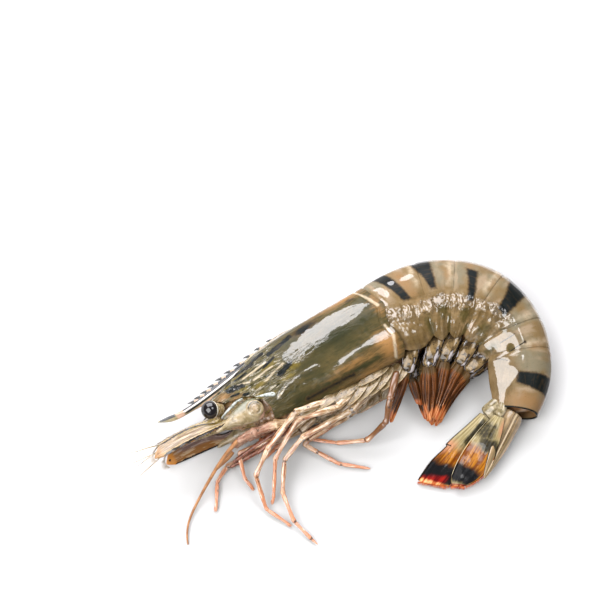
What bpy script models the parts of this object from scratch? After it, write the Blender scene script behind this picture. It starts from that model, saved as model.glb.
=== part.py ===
"""Raw tiger prawn, lying on its right side with its abdomen curled towards the belly.

Every plate and limb of the animal is one object. Lengths are in millimetres until a mesh is made,
and MM turns them into metres. +Z is up, the head points to -X and the back to +Y.

The body is described along its midline: "along" runs from the eye socket (0) backwards, "dorsal" is
the height above the midline towards the back, and "side" is the distance towards the animal's left,
which faces up.
"""
import math

import bmesh
import bpy
from mathutils import Vector

MM = 0.001
GAP = 0.4
UP = Vector((0, 0, 1))
SIDES = {"left": 1, "right": -1}

# Body plan
CARAPACE_LENGTH = 51.0
SEGMENT_LENGTHS = (13.0, 8.3, 9.0, 10.0, 6.2, 16.3)
HEAD_HEADING = math.radians(31)
ABDOMEN_BEND = math.radians(-131)
BEND_EASE = 0.55
ABDOMEN_LENGTH = sum(SEGMENT_LENGTHS)
BODY_LENGTH = CARAPACE_LENGTH + ABDOMEN_LENGTH

# Body profile: (along, value)
BACK_HEIGHT = ((-6, 5.6), (0, 7.0), (17, 11.9), (33, 12.5), (51, 12.6), (60, 13.4), (70, 13.8),
               (80, 14.1), (90, 13.2), (98, 12.3), (106, 10.8), (114, 8.2))
BELLY_DEPTH = ((-6, 7.0), (0, 9.3), (17, 12.6), (33, 14.2), (51, 15.0), (60, 14.4), (69, 13.6),
               (79, 12.4), (88, 10.6), (97, 9.1), (106, 7.5), (114, 5.6))
HALF_WIDTH = ((-6, 5.0), (0, 6.4), (17, 9.5), (33, 11.0), (51, 11.2), (60, 11.0), (79, 10.2),
              (96, 8.3), (106, 6.9), (114, 5.4))
CENTRE_HEIGHT = ((-30, 8.6), (0, 9.6), (25, 10.4), (45, 10.8), (60, 10.7), (79, 9.9), (96, 8.0),
                 (106, 6.7), (114, 5.5))
ROLL = ((87, 0.0), (100, 6.0), (114, 18.0))

# Cross-section, as shares of the half width and of the height
SECTION_POWER = 2.35
PLEURON_ANGLE = math.radians(148)
OUTER_POINTS = 23
BELLY_POINTS = ((0.62, 0.56), (0.56, 0.30), (0.54, 0.0))

# Overlap of one plate on the next
LIP = 0.45
OVERLAP = 2.2
STEP_RUN = 3.0
SCALLOP = 0.05

# Rostrum
ROSTRUM_TIP = (-21.0, 8.2)
ROSTRUM_ROOT = (27.0, 12.9)
ROSTRUM_THICKNESS = 1.5
ROSTRUM_CREST = ((-21, 8.2), (-15, 7.5), (-11, 7.8), (-6, 8.8), (1, 10.3), (7.4, 11.3), (15, 12.4), (21, 13.0), (27, 13.1))
ROSTRUM_KEEL = ((8.0, 7.5), (-2.0, 5.7), (-9.0, 6.1), (-15.0, 5.6), (-18.0, 6.1))
TOOTH_COUNT = 10
FIRST_TOOTH = -10.8
TOOTH_PITCH = 2.1
TOOTH_PITCH_GROWTH = 0.13
TOOTH_HEIGHT = 1.0

# Head, ahead of the carapace: (along, share of the body's section)
HEAD_STATIONS = ((-0.7, 0.62), (-3.5, 0.54), (-6.5, 0.42), (-8.6, 0.24))
FRONT_SLANT = 7.6
EYE_CENTRE = (-8.4, 1.7, 6.9)
EYE_RADIUS = 2.75
EYESTALK_ROOT = (-4.4, 1.6, 4.7)
EYESTALK_RADIUS = 1.35
ANTENNULE_PATH = ((-9.4, -0.6, 2.1), (-16.0, -0.3, 2.1), (-22.5, 0.0, 2.2), (-27.0, 0.4, 2.8), (-33.0, 1.0, 4.2))
ANTENNULE_RADII = (1.5, 1.6, 1.1, 0.5, 0.35)
# Antennal scale: along, then (dorsal, side) of its upper and lower edges
SCALE_STATIONS = ((-2.6, (-2.9, 6.3), (-4.6, 7.8)), (-7.5, (-2.2, 6.0), (-4.8, 8.0)),
                  (-11.8, (0.4, 4.8), (-4.9, 8.0)), (-17.0, (1.5, 4.5), (-4.8, 7.8)),
                  (-22.5, (1.2, 4.6), (-4.4, 7.3)), (-26.5, (-0.2, 4.9), (-4.1, 6.6)),
                  (-29.2, (-2.4, 5.4), (-3.8, 6.0)))
SCALE_THICKNESS = 0.9
ANTENNA_BASE = ((4.6, -6.0, 7.1), (2.0, -5.9, 7.4), (-1.6, -6.8, 5.6), (-4.6, -8.2, 2.6))
ANTENNA_BASE_RADII = (2.1, 2.6, 1.6, 1.1)

# Limbs, as joint positions from the root to the tip: X and Y on the ground from the eye socket, and height
ANTENNA_LASH = ((-2.6, -13.2, 9.4), (-6.3, -18.3, 6.0), (-10.8, -25.5, 2.0), (-13.2, -31.0, 1.1),
                (-13.8, -35.0, 0.8), (-13.5, -38.4, 0.7))
BROKEN_LASH = ((-1.8, -13.0, 5.2), (-5.4, -15.8, 3.6))
LASH_RADIUS = (0.62, 0.32)
MAXILLIPEDS = {
    "maxilliped_left": ((16.0, -4.9, 13.6), (12.0, -5.6, 13.8), (5.5, -8.3, 14.7), (0.8, -11.5, 15.6)),
    "maxilliped_right": ((16.0, -4.9, 6.4), (12.0, -5.0, 7.4), (8.0, -6.0, 8.2), (4.0, -7.9, 8.8), (-0.6, -10.8, 9.0)),
}
LEGS = {
    "leg_left_1": ((23.9, -0.9, 14.6), (15.5, -7.2, 9.6), (1.2, -11.6, 5.4), (3.0, -18.5, 2.0), (6.0, -21.8, 0.8)),
    "leg_left_2": ((30.2, 2.2, 15.5), (18.0, -3.2, 18.5), (9.9, -12.2, 12.0), (6.3, -19.0, 7.0),
                   (9.3, -27.6, 1.5), (17.0, -32.7, 0.8)),
    "leg_left_3": ((36.0, 5.3, 15.0), (30.3, -1.1, 17.0), (18.3, -4.7, 15.5), (12.0, -14.3, 8.5),
                   (11.5, -24.0, 2.5), (11.1, -26.3, 0.8)),
    "leg_left_4": ((41.9, 8.0, 14.5), (34.5, -1.1, 14.0), (20.0, -8.3, 10.5), (14.7, -14.2, 7.0),
                   (14.1, -23.0, 3.0), (17.4, -31.4, 2.2), (22.2, -36.2, 1.0), (24.6, -38.4, 0.8)),
    "leg_left_5": ((47.7, 11.0, 14.5), (45.5, 2.0, 15.0), (44.4, -3.8, 10.5), (39.0, -7.4, 4.5),
                   (30.6, -7.4, 1.8), (20.4, -5.7, 0.8)),
    "leg_right_1": ((23.9, -0.9, 7.0), (19.5, -4.4, 4.4), (10.0, -8.5, 3.2), (-2.1, -14.4, 1.8),
                    (-5.1, -19.2, 1.5), (-5.4, -28.5, 0.8)),
    "leg_right_2": ((30.2, 2.2, 7.0), (24.5, -0.2, 3.0), (17.0, -1.6, 1.3), (8.0, -5.2, 1.2), (6.0, -10.4, 0.9)),
    "leg_right_3": ((36.0, 5.3, 7.0), (30.0, 0.2, 3.0), (24.0, -3.0, 1.7), (17.5, -4.3, 1.2),
                    (12.0, -8.8, 1.1), (8.0, -12.8, 0.8)),
    "leg_right_4": ((41.9, 8.0, 7.0), (34.0, 0.5, 4.5), (22.0, -7.0, 4.0), (20.5, -8.2, 2.8), (23.7, -10.0, 2.3),
                    (30.6, -13.6, 1.2), (40.2, -15.1, 0.8)),
    "leg_right_5": ((47.7, 11.0, 7.0), (44.0, 6.5, 3.0), (37.0, 2.6, 1.6), (31.5, 1.4, 1.2), (26.5, 1.0, 1.0)),
}
LEG_RADIUS = (1.1, 0.6)
MAXILLIPED_RADIUS = (1.3, 0.8)
LIMB_SIDES = 7

# Swimming legs: where each one's root is along the body, then its ankle and its tip
PLEOPOD_ALONG = (56.5, 67.5, 76.5, 86.0, 94.2)
PLEOPOD_ROOT_DEPTH = 0.66
PLEOPOD_SIDE = 0.36
PLEOPODS = {
    "left": (((50.7, 11.4, 13.6), (45.9, -1.7, 5.0)), ((57.0, 13.0, 13.4), (56.2, -2.2, 5.6)),
             ((61.5, 14.9, 13.0), (57.8, -2.4, 5.6)), ((66.3, 14.2, 11.6), (59.4, -2.2, 5.6)),
             ((69.0, 12.6, 10.2), (61.0, -1.6, 5.6))),
    "right": (((52.0, 11.2, 7.2), (54.3, 3.6, 3.2)), ((57.0, 13.0, 7.4), (56.2, -2.2, 2.0)),
              ((61.5, 14.9, 7.2), (57.8, -2.4, 2.0)), ((66.3, 14.2, 6.8), (59.4, -2.2, 2.0)),
              ((69.0, 12.6, 6.0), (61.0, -1.6, 2.0))),
}
ANKLE_RADIUS = 1.25

# Tail fan, on the same ground frame: middle line of each blade from root to tip
TELSON_LENGTH = 21.5
TELSON_TURN = math.radians(-15)
TELSON_ROLL = math.radians(35)
TELSON_RISE = (6.6, 4.2)
TELSON_HALF_WIDTH = ((0, 3.1), (0.15, 3.4), (0.6, 2.2), (0.88, 1.1), (1, 0.35))
TELSON_HALF_DEPTH = ((0, 1.7), (0.15, 1.8), (0.6, 1.1), (1, 0.3))
FAN_BASES = {
    "left": ((3.2, 1.8, 2.2), (73.0, 0.2, 8.4), 1.9),
    "right": ((-3.0, 2.0, 1.4), (75.2, -1.0, 2.2), 1.3),
}
FAN_BLADES = {
    "uropod_outer_left": ((72.0, -1.4, 7.6), (65.0, -10.0, 4.2), (55.4, -20.0, 1.3)),
    "uropod_inner_left": ((75.0, -2.2, 8.4), (71.6, -11.0, 5.6), (66.6, -20.7, 2.8)),
    "uropod_outer_right": ((74.2, -2.3, 1.7), (68.8, -10.9, 0.6), (62.9, -20.0, 0.6)),
    "uropod_inner_right": ((76.4, -2.5, 2.6), (72.8, -10.5, 1.8), (68.4, -18.8, 1.6)),
}
OUTER_HALF_WIDTH = ((0, 0.9), (0.2, 2.4), (0.55, 3.8), (0.85, 3.9), (0.96, 2.8), (1, 1.2))
INNER_HALF_WIDTH = ((0, 0.9), (0.2, 2.6), (0.5, 4.0), (0.8, 3.7), (0.95, 2.4), (1, 1.0))
BLADE_THICKNESS = 0.8

SKINS = {
    "shell": ((0.33, 0.32, 0.19), 0.25),
    "limb": ((0.72, 0.50, 0.33), 0.35),
    "swimmer": ((0.50, 0.24, 0.12), 0.35),
    "fan": ((0.42, 0.25, 0.10), 0.30),
    "eye": ((0.012, 0.009, 0.009), 0.08),
}


def clear_scene():
    for found in list(bpy.data.objects):
        bpy.data.objects.remove(found)


def skin(slot):
    """The material of a slot, made once."""
    if slot in bpy.data.materials:
        return bpy.data.materials[slot]
    colour, roughness = SKINS[slot]
    made = bpy.data.materials.new(slot)
    made.use_nodes = True
    shader = made.node_tree.nodes["Principled BSDF"]
    shader.inputs["Base Color"].default_value = (*colour, 1.0)
    shader.inputs["Roughness"].default_value = roughness
    shader.inputs["Metallic"].default_value = 0.0
    return made


def read(stations, at):
    """Value of a profile at a point, on a smooth curve through its stations."""
    if at <= stations[0][0]:
        return stations[0][1]
    if at >= stations[-1][0]:
        return stations[-1][1]
    last = len(stations) - 1
    i = next(k for k in range(last) if stations[k + 1][0] > at)
    slope = []
    for k in (i, i + 1):
        (x0, y0), (x1, y1) = stations[max(k - 1, 0)], stations[min(k + 1, last)]
        slope.append((y1 - y0) / (x1 - x0))
    (x0, y0), (x1, y1) = stations[i], stations[i + 1]
    run = x1 - x0
    t = (at - x0) / run
    return (y0 * (2 * t**3 - 3 * t**2 + 1) + y1 * (3 * t**2 - 2 * t**3)
            + run * slope[0] * (t**3 - 2 * t**2 + t) + run * slope[1] * (t**3 - t**2))


def heading(along):
    """Direction of the midline, as an angle in the ground plane."""
    t = min(max((along - CARAPACE_LENGTH) / ABDOMEN_LENGTH, 0.0), 1.0)
    return HEAD_HEADING + ABDOMEN_BEND * (t - BEND_EASE * math.sin(2 * math.pi * t) / (2 * math.pi))


def midline(along):
    """Point of the midline on the ground plane, walked from the eye socket."""
    straight = min(along, CARAPACE_LENGTH)
    point = Vector((math.cos(HEAD_HEADING), math.sin(HEAD_HEADING), 0)) * straight
    bent = along - CARAPACE_LENGTH
    if bent > 0:
        steps = max(int(bent * 2), 1)
        for k in range(steps):
            angle = heading(CARAPACE_LENGTH + bent * (k + 0.5) / steps)
            point += Vector((math.cos(angle), math.sin(angle), 0)) * (bent / steps)
    return point


def body_frame(along):
    """Centre, backward, dorsal and left directions of the body there."""
    angle = heading(along)
    roll = math.radians(read(ROLL, along))
    backward = Vector((math.cos(angle), math.sin(angle), 0))
    flat_dorsal = Vector((-math.sin(angle), math.cos(angle), 0))
    dorsal = flat_dorsal * math.cos(roll) + UP * math.sin(roll)
    left = UP * math.cos(roll) - flat_dorsal * math.sin(roll)
    centre = midline(along) + UP * read(CENTRE_HEIGHT, along)
    return centre, backward, dorsal, left


def body_point(along, dorsal, side):
    centre, _, up, left = body_frame(along)
    return centre + up * dorsal + left * side


def power(value):
    return math.copysign(abs(value) ** (2 / SECTION_POWER), value)


def section_shape():
    """One cross-section as (dorsal share, side share), round the outer shell and back under the belly."""
    angles = [PLEURON_ANGLE * (2 * k / (OUTER_POINTS - 1) - 1) for k in range(OUTER_POINTS)]
    outer = [(power(math.cos(a)), power(math.sin(a))) for a in angles]
    left_to_middle = [(-depth, side) for depth, side in BELLY_POINTS]
    middle_to_right = [(dorsal, -side) for dorsal, side in reversed(left_to_middle[:-1])]
    return outer + left_to_middle + middle_to_right


SECTION = section_shape()


def segment_share(along):
    """How far along its own abdominal segment a point is, from 0 to 1."""
    start = CARAPACE_LENGTH
    for length in SEGMENT_LENGTHS:
        if along < start + length:
            return (along - start) / length
        start += length
    return 1.0


def body_ring(along, inset=0.0, slant=0.0, size=1.0):
    """Cross-section of the body, moved in from the shell by inset, and leaning back by slant at the belly."""
    belly = read(BELLY_DEPTH, along)
    if along > CARAPACE_LENGTH:
        belly *= 1 + SCALLOP * math.sin(math.pi * segment_share(along)) ** 2
    width = read(HALF_WIDTH, along)
    back = read(BACK_HEIGHT, along)
    centre, _, dorsal_way, left = body_frame(along)
    share = size * (1 - inset / width)
    ring = []
    for dorsal, side in SECTION:
        height = dorsal * (back if dorsal > 0 else belly)
        point = centre + dorsal_way * height + left * (side * width)
        point.z = max(point.z, 0.0)
        point = centre + (point - centre) * share
        lean = slant * (1 - dorsal * size) / 2
        ring.append(point + midline(along + lean) - midline(along))
    return ring


def finish(mesh_data, name, slot):
    """A node from a finished bmesh in millimetres."""
    bmesh.ops.recalc_face_normals(mesh_data, faces=mesh_data.faces)
    bmesh.ops.scale(mesh_data, vec=(MM, MM, MM), verts=mesh_data.verts)
    mesh = bpy.data.meshes.new(name)
    mesh_data.to_mesh(mesh)
    mesh_data.free()
    mesh.materials.append(skin(slot))
    mesh.shade_smooth()
    mesh.set_sharp_from_angle(angle=math.radians(40))
    made = bpy.data.objects.new(name, mesh)
    bpy.context.scene.collection.objects.link(made)
    return made


def settle(corners, places):
    """Move each corner to its place, and none below the ground."""
    for corner, place in zip(corners, places):
        corner.co = (place.x, place.y, max(place.z, 0.0))


def extrude_through(bm, rings):
    """A closed skin through rings of equal count: one face is made, then extruded from ring to ring."""
    cap = bmesh.ops.create_circle(bm, cap_ends=True, segments=len(rings[0]), radius=1.0)["verts"][0].link_faces[0]
    corners = list(cap.verts)
    settle(corners, rings[0])
    for k, ring in enumerate(rings[1:]):
        before = {tuple(round(c, 5) for c in v.co): n for n, v in enumerate(corners)}
        made = bmesh.ops.extrude_face_region(bm, geom=[cap])["geom"]
        if k:
            bmesh.ops.delete(bm, geom=[cap], context="FACES_ONLY")
        cap = next(g for g in made if isinstance(g, bmesh.types.BMFace))
        corners = sorted(cap.verts, key=lambda v: before[tuple(round(c, 5) for c in v.co)])
        settle(corners, ring)


def loft(name, rings, slot):
    bm = bmesh.new()
    extrude_through(bm, rings)
    return finish(bm, name, slot)


def flat_ring(centre, direction, face, half_width, half_depth, sides):
    """An oval ring square to a direction. Its flat side looks towards face."""
    wide = direction.cross(face).normalized()
    deep = wide.cross(direction).normalized()
    turns = [2 * math.pi * k / sides for k in range(sides)]
    return [centre + wide * (half_width * math.cos(t)) + deep * (half_depth * math.sin(t)) for t in turns]


def directions(points):
    """At each point of a path, the mean of the directions to it and from it."""
    found = []
    for k, point in enumerate(points):
        ahead = (points[min(k + 1, len(points) - 1)] - point).normalized()
        behind = (point - points[max(k - 1, 0)]).normalized()
        found.append((ahead + behind).normalized())
    return found


def arc_shares(points):
    """How far along a path each point is, from 0 to 1."""
    runs = [0.0]
    for start, end in zip(points, points[1:]):
        runs.append(runs[-1] + (end - start).length)
    return [run / runs[-1] for run in runs]


def limb_rings(points, radii):
    return [flat_ring(point, way, UP if abs(way.z) < 0.9 else Vector((1, 0, 0)), radius, radius, LIMB_SIDES)
            for point, way, radius in zip(points, directions(points), radii)]


def tapered(points, radius):
    """Radii along a path, from the first to the last value of a pair."""
    return [radius[0] + (radius[1] - radius[0]) * share for share in arc_shares(points)]


def smooth_path(points, count):
    """A smooth curve through a few points, read at even steps."""
    shares = arc_shares(points)
    stations = [[(share, point[axis]) for share, point in zip(shares, points)] for axis in range(3)]
    return [Vector([read(stations[axis], k / (count - 1)) for axis in range(3)]) for k in range(count)]


def blade(name, points, half_width, face, slot, count=8, thickness=BLADE_THICKNESS, sides=8):
    """A flat paddle along a curve through its points. half_width is a profile from root to tip."""
    path = smooth_path([Vector(p) for p in points], count)
    rings = [flat_ring(point, way, face, read(half_width, k / (count - 1)), thickness / 2, sides)
             for k, (point, way) in enumerate(zip(path, directions(path)))]
    return loft(name, rings, slot)


# ---- Shell plates

def carapace():
    """Head shield: a saddle over the thorax, with a thin lip over the first tail segment, and the rostrum."""
    body = loft("carapace", [
        body_ring(0.0, 0.5, slant=FRONT_SLANT + 0.4),
        body_ring(0.9, 0.0, slant=FRONT_SLANT),
        *[body_ring(along, slant=max(FRONT_SLANT * (1 - along / 24), 0.0)) for along in (5, 11, 18, 25, 33, 41, 47)],
        body_ring(CARAPACE_LENGTH),
        body_ring(CARAPACE_LENGTH, LIP),
        body_ring(CARAPACE_LENGTH - OVERLAP, LIP),
    ], "shell")
    blade = rostrum()
    joined = body.modifiers.new("rostrum", "BOOLEAN")
    joined.operation = "UNION"
    joined.object = blade
    return body


def rostrum():
    """The saw-edged blade on the midline, as a helper that the carapace takes in."""
    crest = [ROSTRUM_TIP]
    for k in range(TOOTH_COUNT):
        point = FIRST_TOOTH + k * TOOTH_PITCH + k * k * TOOTH_PITCH_GROWTH
        notch = point + 0.6 * (TOOTH_PITCH + (2 * k + 1) * TOOTH_PITCH_GROWTH)
        crest.append((point, read(ROSTRUM_CREST, point) + TOOTH_HEIGHT))
        crest.append((notch, read(ROSTRUM_CREST, notch)))
    crest.append(ROSTRUM_ROOT)
    outline = crest + [(ROSTRUM_ROOT[0], ROSTRUM_ROOT[1] - 3.0), *ROSTRUM_KEEL]
    bm = bmesh.new()
    half = ROSTRUM_THICKNESS / 2
    extrude_through(bm, [[body_point(along, dorsal, side) for along, dorsal in outline] for side in (-half, half)])
    bmesh.ops.triangulate(bm, faces=[f for f in bm.faces if len(f.verts) > 4])
    blade_helper = finish(bm, "rostrum_blade", "shell")
    blade_helper.hide_render = True
    blade_helper.display_type = "WIRE"
    return blade_helper


def abdomen():
    """Six rings of shell, each tucked under the rear lip of the one before."""
    start = CARAPACE_LENGTH
    for k, length in enumerate(SEGMENT_LENGTHS):
        end = start + length
        rings = [
            body_ring(start - OVERLAP + GAP, LIP + 1.6 * GAP),
            body_ring(start, LIP + GAP),
            body_ring(start + 0.35 * STEP_RUN, 0.25),
            body_ring(start + STEP_RUN),
            *[body_ring(start + length * t) for t in ((0.55, 0.8) if k < 5 else (0.4, 0.6, 0.8))],
            body_ring(end),
        ]
        if k < 5:
            rings += [body_ring(end, LIP), body_ring(end - OVERLAP, LIP)]
        else:
            rings += [body_ring(end, 1.2), body_ring(end - OVERLAP, 1.8)]
        loft(f"abdomen_{k + 1}", rings, "shell")
        start = end


def thorax():
    """The underside between the two flaps of the carapace, from which the limbs come."""
    rings = []
    for along, depth, half, drop in ((9, 0.74, 1.2, 1.2), (14, 0.80, 2.6, 2.2), (25, 0.80, 3.4, 2.8),
                                     (38, 0.80, 3.6, 2.8), (47, 0.80, 3.0, 2.6), (49.5, 0.78, 1.6, 1.6)):
        centre, backward, dorsal, left = body_frame(along)
        middle = centre - dorsal * (depth * read(BELLY_DEPTH, along))
        turns = [2 * math.pi * k / 12 for k in range(12)]
        rings.append([middle + left * (half * math.cos(t)) + dorsal * (drop * 0.85 * math.sin(t)) for t in turns])
    loft("thorax", rings, "limb")


# ---- Head

def head():
    """The block ahead of the carapace that carries the eyes and the feelers."""
    loft("head", [body_ring(along, slant=FRONT_SLANT + 0.4, size=size) for along, size in HEAD_STATIONS], "limb")


def eye(side, sign):
    """A short stalk and a ball, as one turned shape."""
    root = body_point(*EYESTALK_ROOT[:2], sign * EYESTALK_ROOT[2])
    centre = body_point(*EYE_CENTRE[:2], sign * EYE_CENTRE[2])
    way = (centre - root).normalized()
    turns = [math.radians(angle) for angle in (148, 125, 100, 75, 50, 28, 10)]
    profile = [(root, EYESTALK_RADIUS)]
    profile += [(centre + way * (EYE_RADIUS * math.cos(t)), EYE_RADIUS * math.sin(t)) for t in turns]
    loft(f"eye_{side}", [flat_ring(point, way, UP, radius, radius, 12) for point, radius in profile], "eye")


def antennule(side, sign):
    points = [body_point(along, dorsal, sign * out) for along, dorsal, out in ANTENNULE_PATH]
    loft(f"antennule_{side}", limb_rings(points, ANTENNULE_RADII), "limb")


def antennal_scale(side, sign):
    """The broad blade beside the feelers."""
    rings = []
    for along, inner, outer in SCALE_STATIONS:
        start = body_point(along, inner[0], sign * inner[1])
        end = body_point(along, outer[0], sign * outer[1])
        backward = body_frame(along)[1]
        face = backward.cross(end - start)
        rings.append(flat_ring((start + end) / 2, backward, face, (end - start).length / 2, SCALE_THICKNESS / 2, 8))
    loft(f"antennal_scale_{side}", rings, "shell")


def antenna(side, sign):
    """The round elbow of the long feeler, and what is left of its lash."""
    base = [body_point(along, dorsal, sign * out) for along, dorsal, out in ANTENNA_BASE]
    lash = [Vector(p) for p in (ANTENNA_LASH if side == "left" else BROKEN_LASH)]
    radii = list(ANTENNA_BASE_RADII) + tapered(lash, LASH_RADIUS)
    loft(f"antenna_{side}", limb_rings(base + lash, radii), "limb")


# ---- Walking and swimming legs

def walking_legs():
    for paths, radius in ((MAXILLIPEDS, MAXILLIPED_RADIUS), (LEGS, LEG_RADIUS)):
        for name, joints in paths.items():
            points = [Vector(joint) for joint in joints]
            loft(name, limb_rings(points, tapered(points, radius)), "limb")


def pleopod(number, side, sign):
    """A swimming leg: a stout foot and one folded paddle, hanging from its body ring."""
    along = PLEOPOD_ALONG[number]
    belly = read(BELLY_DEPTH, along)
    root = body_point(along, -PLEOPOD_ROOT_DEPTH * belly, sign * PLEOPOD_SIDE * read(HALF_WIDTH, along))
    ankle, tip = (Vector(place) for place in PLEOPODS[side][number])
    middle = (ankle + tip) / 2 + body_frame(along)[1] * 0.8
    path = [root, (root + ankle) / 2, ankle, ankle.lerp(middle, 0.35), middle, tip]
    wide = (1.2, 1.35, ANKLE_RADIUS, 1.5, 1.5, 0.8)
    deep = (1.1, 1.3, ANKLE_RADIUS, 0.75, 0.65, 0.45)
    rings = [flat_ring(point, way, UP.cross(way), half_width, half_depth, 8)
             for point, way, half_width, half_depth in zip(path, directions(path), wide, deep)]
    loft(f"pleopod_{side}_{number + 1}", rings, "swimmer")


# ---- Tail fan

def telson():
    """The tapering spike between the two pairs of fan blades."""
    centre, backward, dorsal, _ = body_frame(BODY_LENGTH)
    angle = heading(BODY_LENGTH) + TELSON_TURN
    way = Vector((math.cos(angle), math.sin(angle), 0))
    flat_dorsal = Vector((-math.sin(angle), math.cos(angle), 0))
    face = flat_dorsal * math.cos(TELSON_ROLL) + UP * math.sin(TELSON_ROLL)
    start = centre + backward * 0.9 + dorsal * 1.6
    rings = []
    for share in (0.0, 0.15, 0.4, 0.65, 0.88, 1.0):
        middle = start + way * (TELSON_LENGTH * share)
        middle.z = TELSON_RISE[0] + (TELSON_RISE[1] - TELSON_RISE[0]) * share
        rings.append(flat_ring(middle, way, face, read(TELSON_HALF_WIDTH, share), read(TELSON_HALF_DEPTH, share), 10))
    loft("telson", rings, "fan")


def tail_fan():
    """The foot of each pair of blades, then the blades, layered from the ground up."""
    _, backward, _, _ = body_frame(BODY_LENGTH)
    for side, ((out, clear, deep), foot, radius) in FAN_BASES.items():
        root = body_point(BODY_LENGTH, -3.8, out) + backward * clear
        foot = Vector(foot)
        points = [root, root.lerp(foot, 0.5), foot]
        rings = [flat_ring(point, way, UP, radius * swell, deep * swell / 2, 8)
                 for point, way, swell in zip(points, directions(points), (0.85, 1.1, 0.8))]
        loft(f"uropod_base_{side}", rings, "fan")
    for name, points in FAN_BLADES.items():
        blade(name, points, OUTER_HALF_WIDTH if "outer" in name else INNER_HALF_WIDTH, UP, "fan")


def stand_on_footprint():
    """Hang every piece on one empty, so that the origin is the middle of the prawn's footprint."""
    pieces = [found for found in bpy.data.objects if found.type == "MESH"]
    corners = [vertex.co for piece in pieces for vertex in piece.data.vertices]
    low = [min(corner[axis] for corner in corners) for axis in range(3)]
    high = [max(corner[axis] for corner in corners) for axis in range(3)]
    prawn = bpy.data.objects.new("prawn", None)
    prawn.location = (-(low[0] + high[0]) / 2, -(low[1] + high[1]) / 2, -low[2])
    bpy.context.scene.collection.objects.link(prawn)
    for piece in pieces:
        piece.parent = prawn


def main():
    clear_scene()
    carapace()
    abdomen()
    thorax()
    head()
    for side, sign in SIDES.items():
        eye(side, sign)
        antennule(side, sign)
        antennal_scale(side, sign)
        antenna(side, sign)
        for number in range(len(PLEOPOD_ALONG)):
            pleopod(number, side, sign)
    walking_legs()
    telson()
    tail_fan()
    stand_on_footprint()


main()
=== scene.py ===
"""Looks of the raw tiger prawn: wet banded shells, legs, feelers and tail fan round the fixed frame."""

import math
import random
from functools import lru_cache

import bmesh
import bpy
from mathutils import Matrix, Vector, noise


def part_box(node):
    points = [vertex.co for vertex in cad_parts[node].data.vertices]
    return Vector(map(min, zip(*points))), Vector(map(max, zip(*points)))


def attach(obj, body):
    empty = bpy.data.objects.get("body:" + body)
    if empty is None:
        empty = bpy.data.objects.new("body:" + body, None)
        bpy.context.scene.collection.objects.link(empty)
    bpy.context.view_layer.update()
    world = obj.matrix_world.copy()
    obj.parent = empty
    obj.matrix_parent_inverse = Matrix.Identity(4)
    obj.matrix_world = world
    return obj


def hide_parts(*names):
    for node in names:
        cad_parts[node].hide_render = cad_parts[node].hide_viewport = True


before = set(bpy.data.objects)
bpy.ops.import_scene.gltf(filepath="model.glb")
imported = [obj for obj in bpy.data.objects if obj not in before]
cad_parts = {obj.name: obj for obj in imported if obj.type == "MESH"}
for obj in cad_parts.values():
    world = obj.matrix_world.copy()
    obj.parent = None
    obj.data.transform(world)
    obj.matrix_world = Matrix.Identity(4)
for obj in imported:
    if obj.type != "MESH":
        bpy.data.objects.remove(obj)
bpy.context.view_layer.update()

MM = 0.001
UP = Vector((0, 0, 1))
SIDES = {"left": 1, "right": -1}
TURN = 2 * math.pi

# The prawn's own coordinates: along from the eye socket backwards, dorsal towards the back, side towards the
# left, which faces up. SOCKET is the eye socket's place on the ground.
SHIELD_TO_SOCKET = Vector((22.2238, 4.0420, 0))
SOCKET = Vector(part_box("carapace")[0]) / MM + SHIELD_TO_SOCKET

# ---- Body plan

SHIELD_LENGTH = 51.0
RING_LENGTHS = (13.0, 8.3, 9.0, 10.0, 6.2, 16.3)
HEAD_HEADING = math.radians(31)
TAIL_BEND = math.radians(-131)
BEND_EASE = 0.55
TAIL_LENGTH = sum(RING_LENGTHS)
BODY_LENGTH = SHIELD_LENGTH + TAIL_LENGTH
RING_STARTS = [SHIELD_LENGTH + sum(RING_LENGTHS[:k]) for k in range(7)]

BACK_HEIGHT = ((-6, 5.6), (0, 7.0), (17, 11.9), (33, 12.5), (51, 12.6), (60, 13.4), (70, 13.8),
               (80, 14.1), (90, 13.2), (98, 12.3), (106, 10.8), (114, 8.2))
BELLY_DEPTH = ((-6, 7.0), (0, 9.3), (17, 12.6), (33, 14.2), (51, 15.0), (60, 14.4), (69, 13.6),
               (79, 12.4), (88, 10.6), (97, 9.1), (106, 7.5), (114, 5.6))
HALF_WIDTH = ((-6, 5.0), (0, 6.4), (17, 9.5), (33, 11.0), (51, 11.2), (60, 11.0), (79, 10.2),
              (96, 8.3), (106, 6.9), (114, 5.4))
CENTRE_HEIGHT = ((-30, 8.6), (0, 9.6), (25, 10.4), (45, 10.8), (60, 10.7), (79, 9.9), (96, 8.0),
                 (106, 6.7), (114, 5.5))
ROLL = ((87, 0.0), (100, 6.0), (114, 18.0))
SECTION_POWER = 2.35
SCALLOP = 0.05


def read(stations, at):
    """Value of a profile at a point, on a smooth curve through its stations."""
    if at <= stations[0][0]:
        return stations[0][1]
    if at >= stations[-1][0]:
        return stations[-1][1]
    last = len(stations) - 1
    i = next(k for k in range(last) if stations[k + 1][0] > at)
    slope = []
    for k in (i, i + 1):
        (x0, y0), (x1, y1) = stations[max(k - 1, 0)], stations[min(k + 1, last)]
        slope.append((y1 - y0) / (x1 - x0))
    (x0, y0), (x1, y1) = stations[i], stations[i + 1]
    run = x1 - x0
    t = (at - x0) / run
    return (y0 * (2 * t**3 - 3 * t**2 + 1) + y1 * (3 * t**2 - 2 * t**3)
            + run * slope[0] * (t**3 - 2 * t**2 + t) + run * slope[1] * (t**3 - t**2))


def within(value, low=0.0, high=1.0):
    return min(max(value, low), high)


def ease(value, low=0.0, high=1.0):
    """0 at low, 1 at high, smooth between. low may be the larger."""
    t = within((value - low) / (high - low))
    return t * t * (3 - 2 * t)


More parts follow.
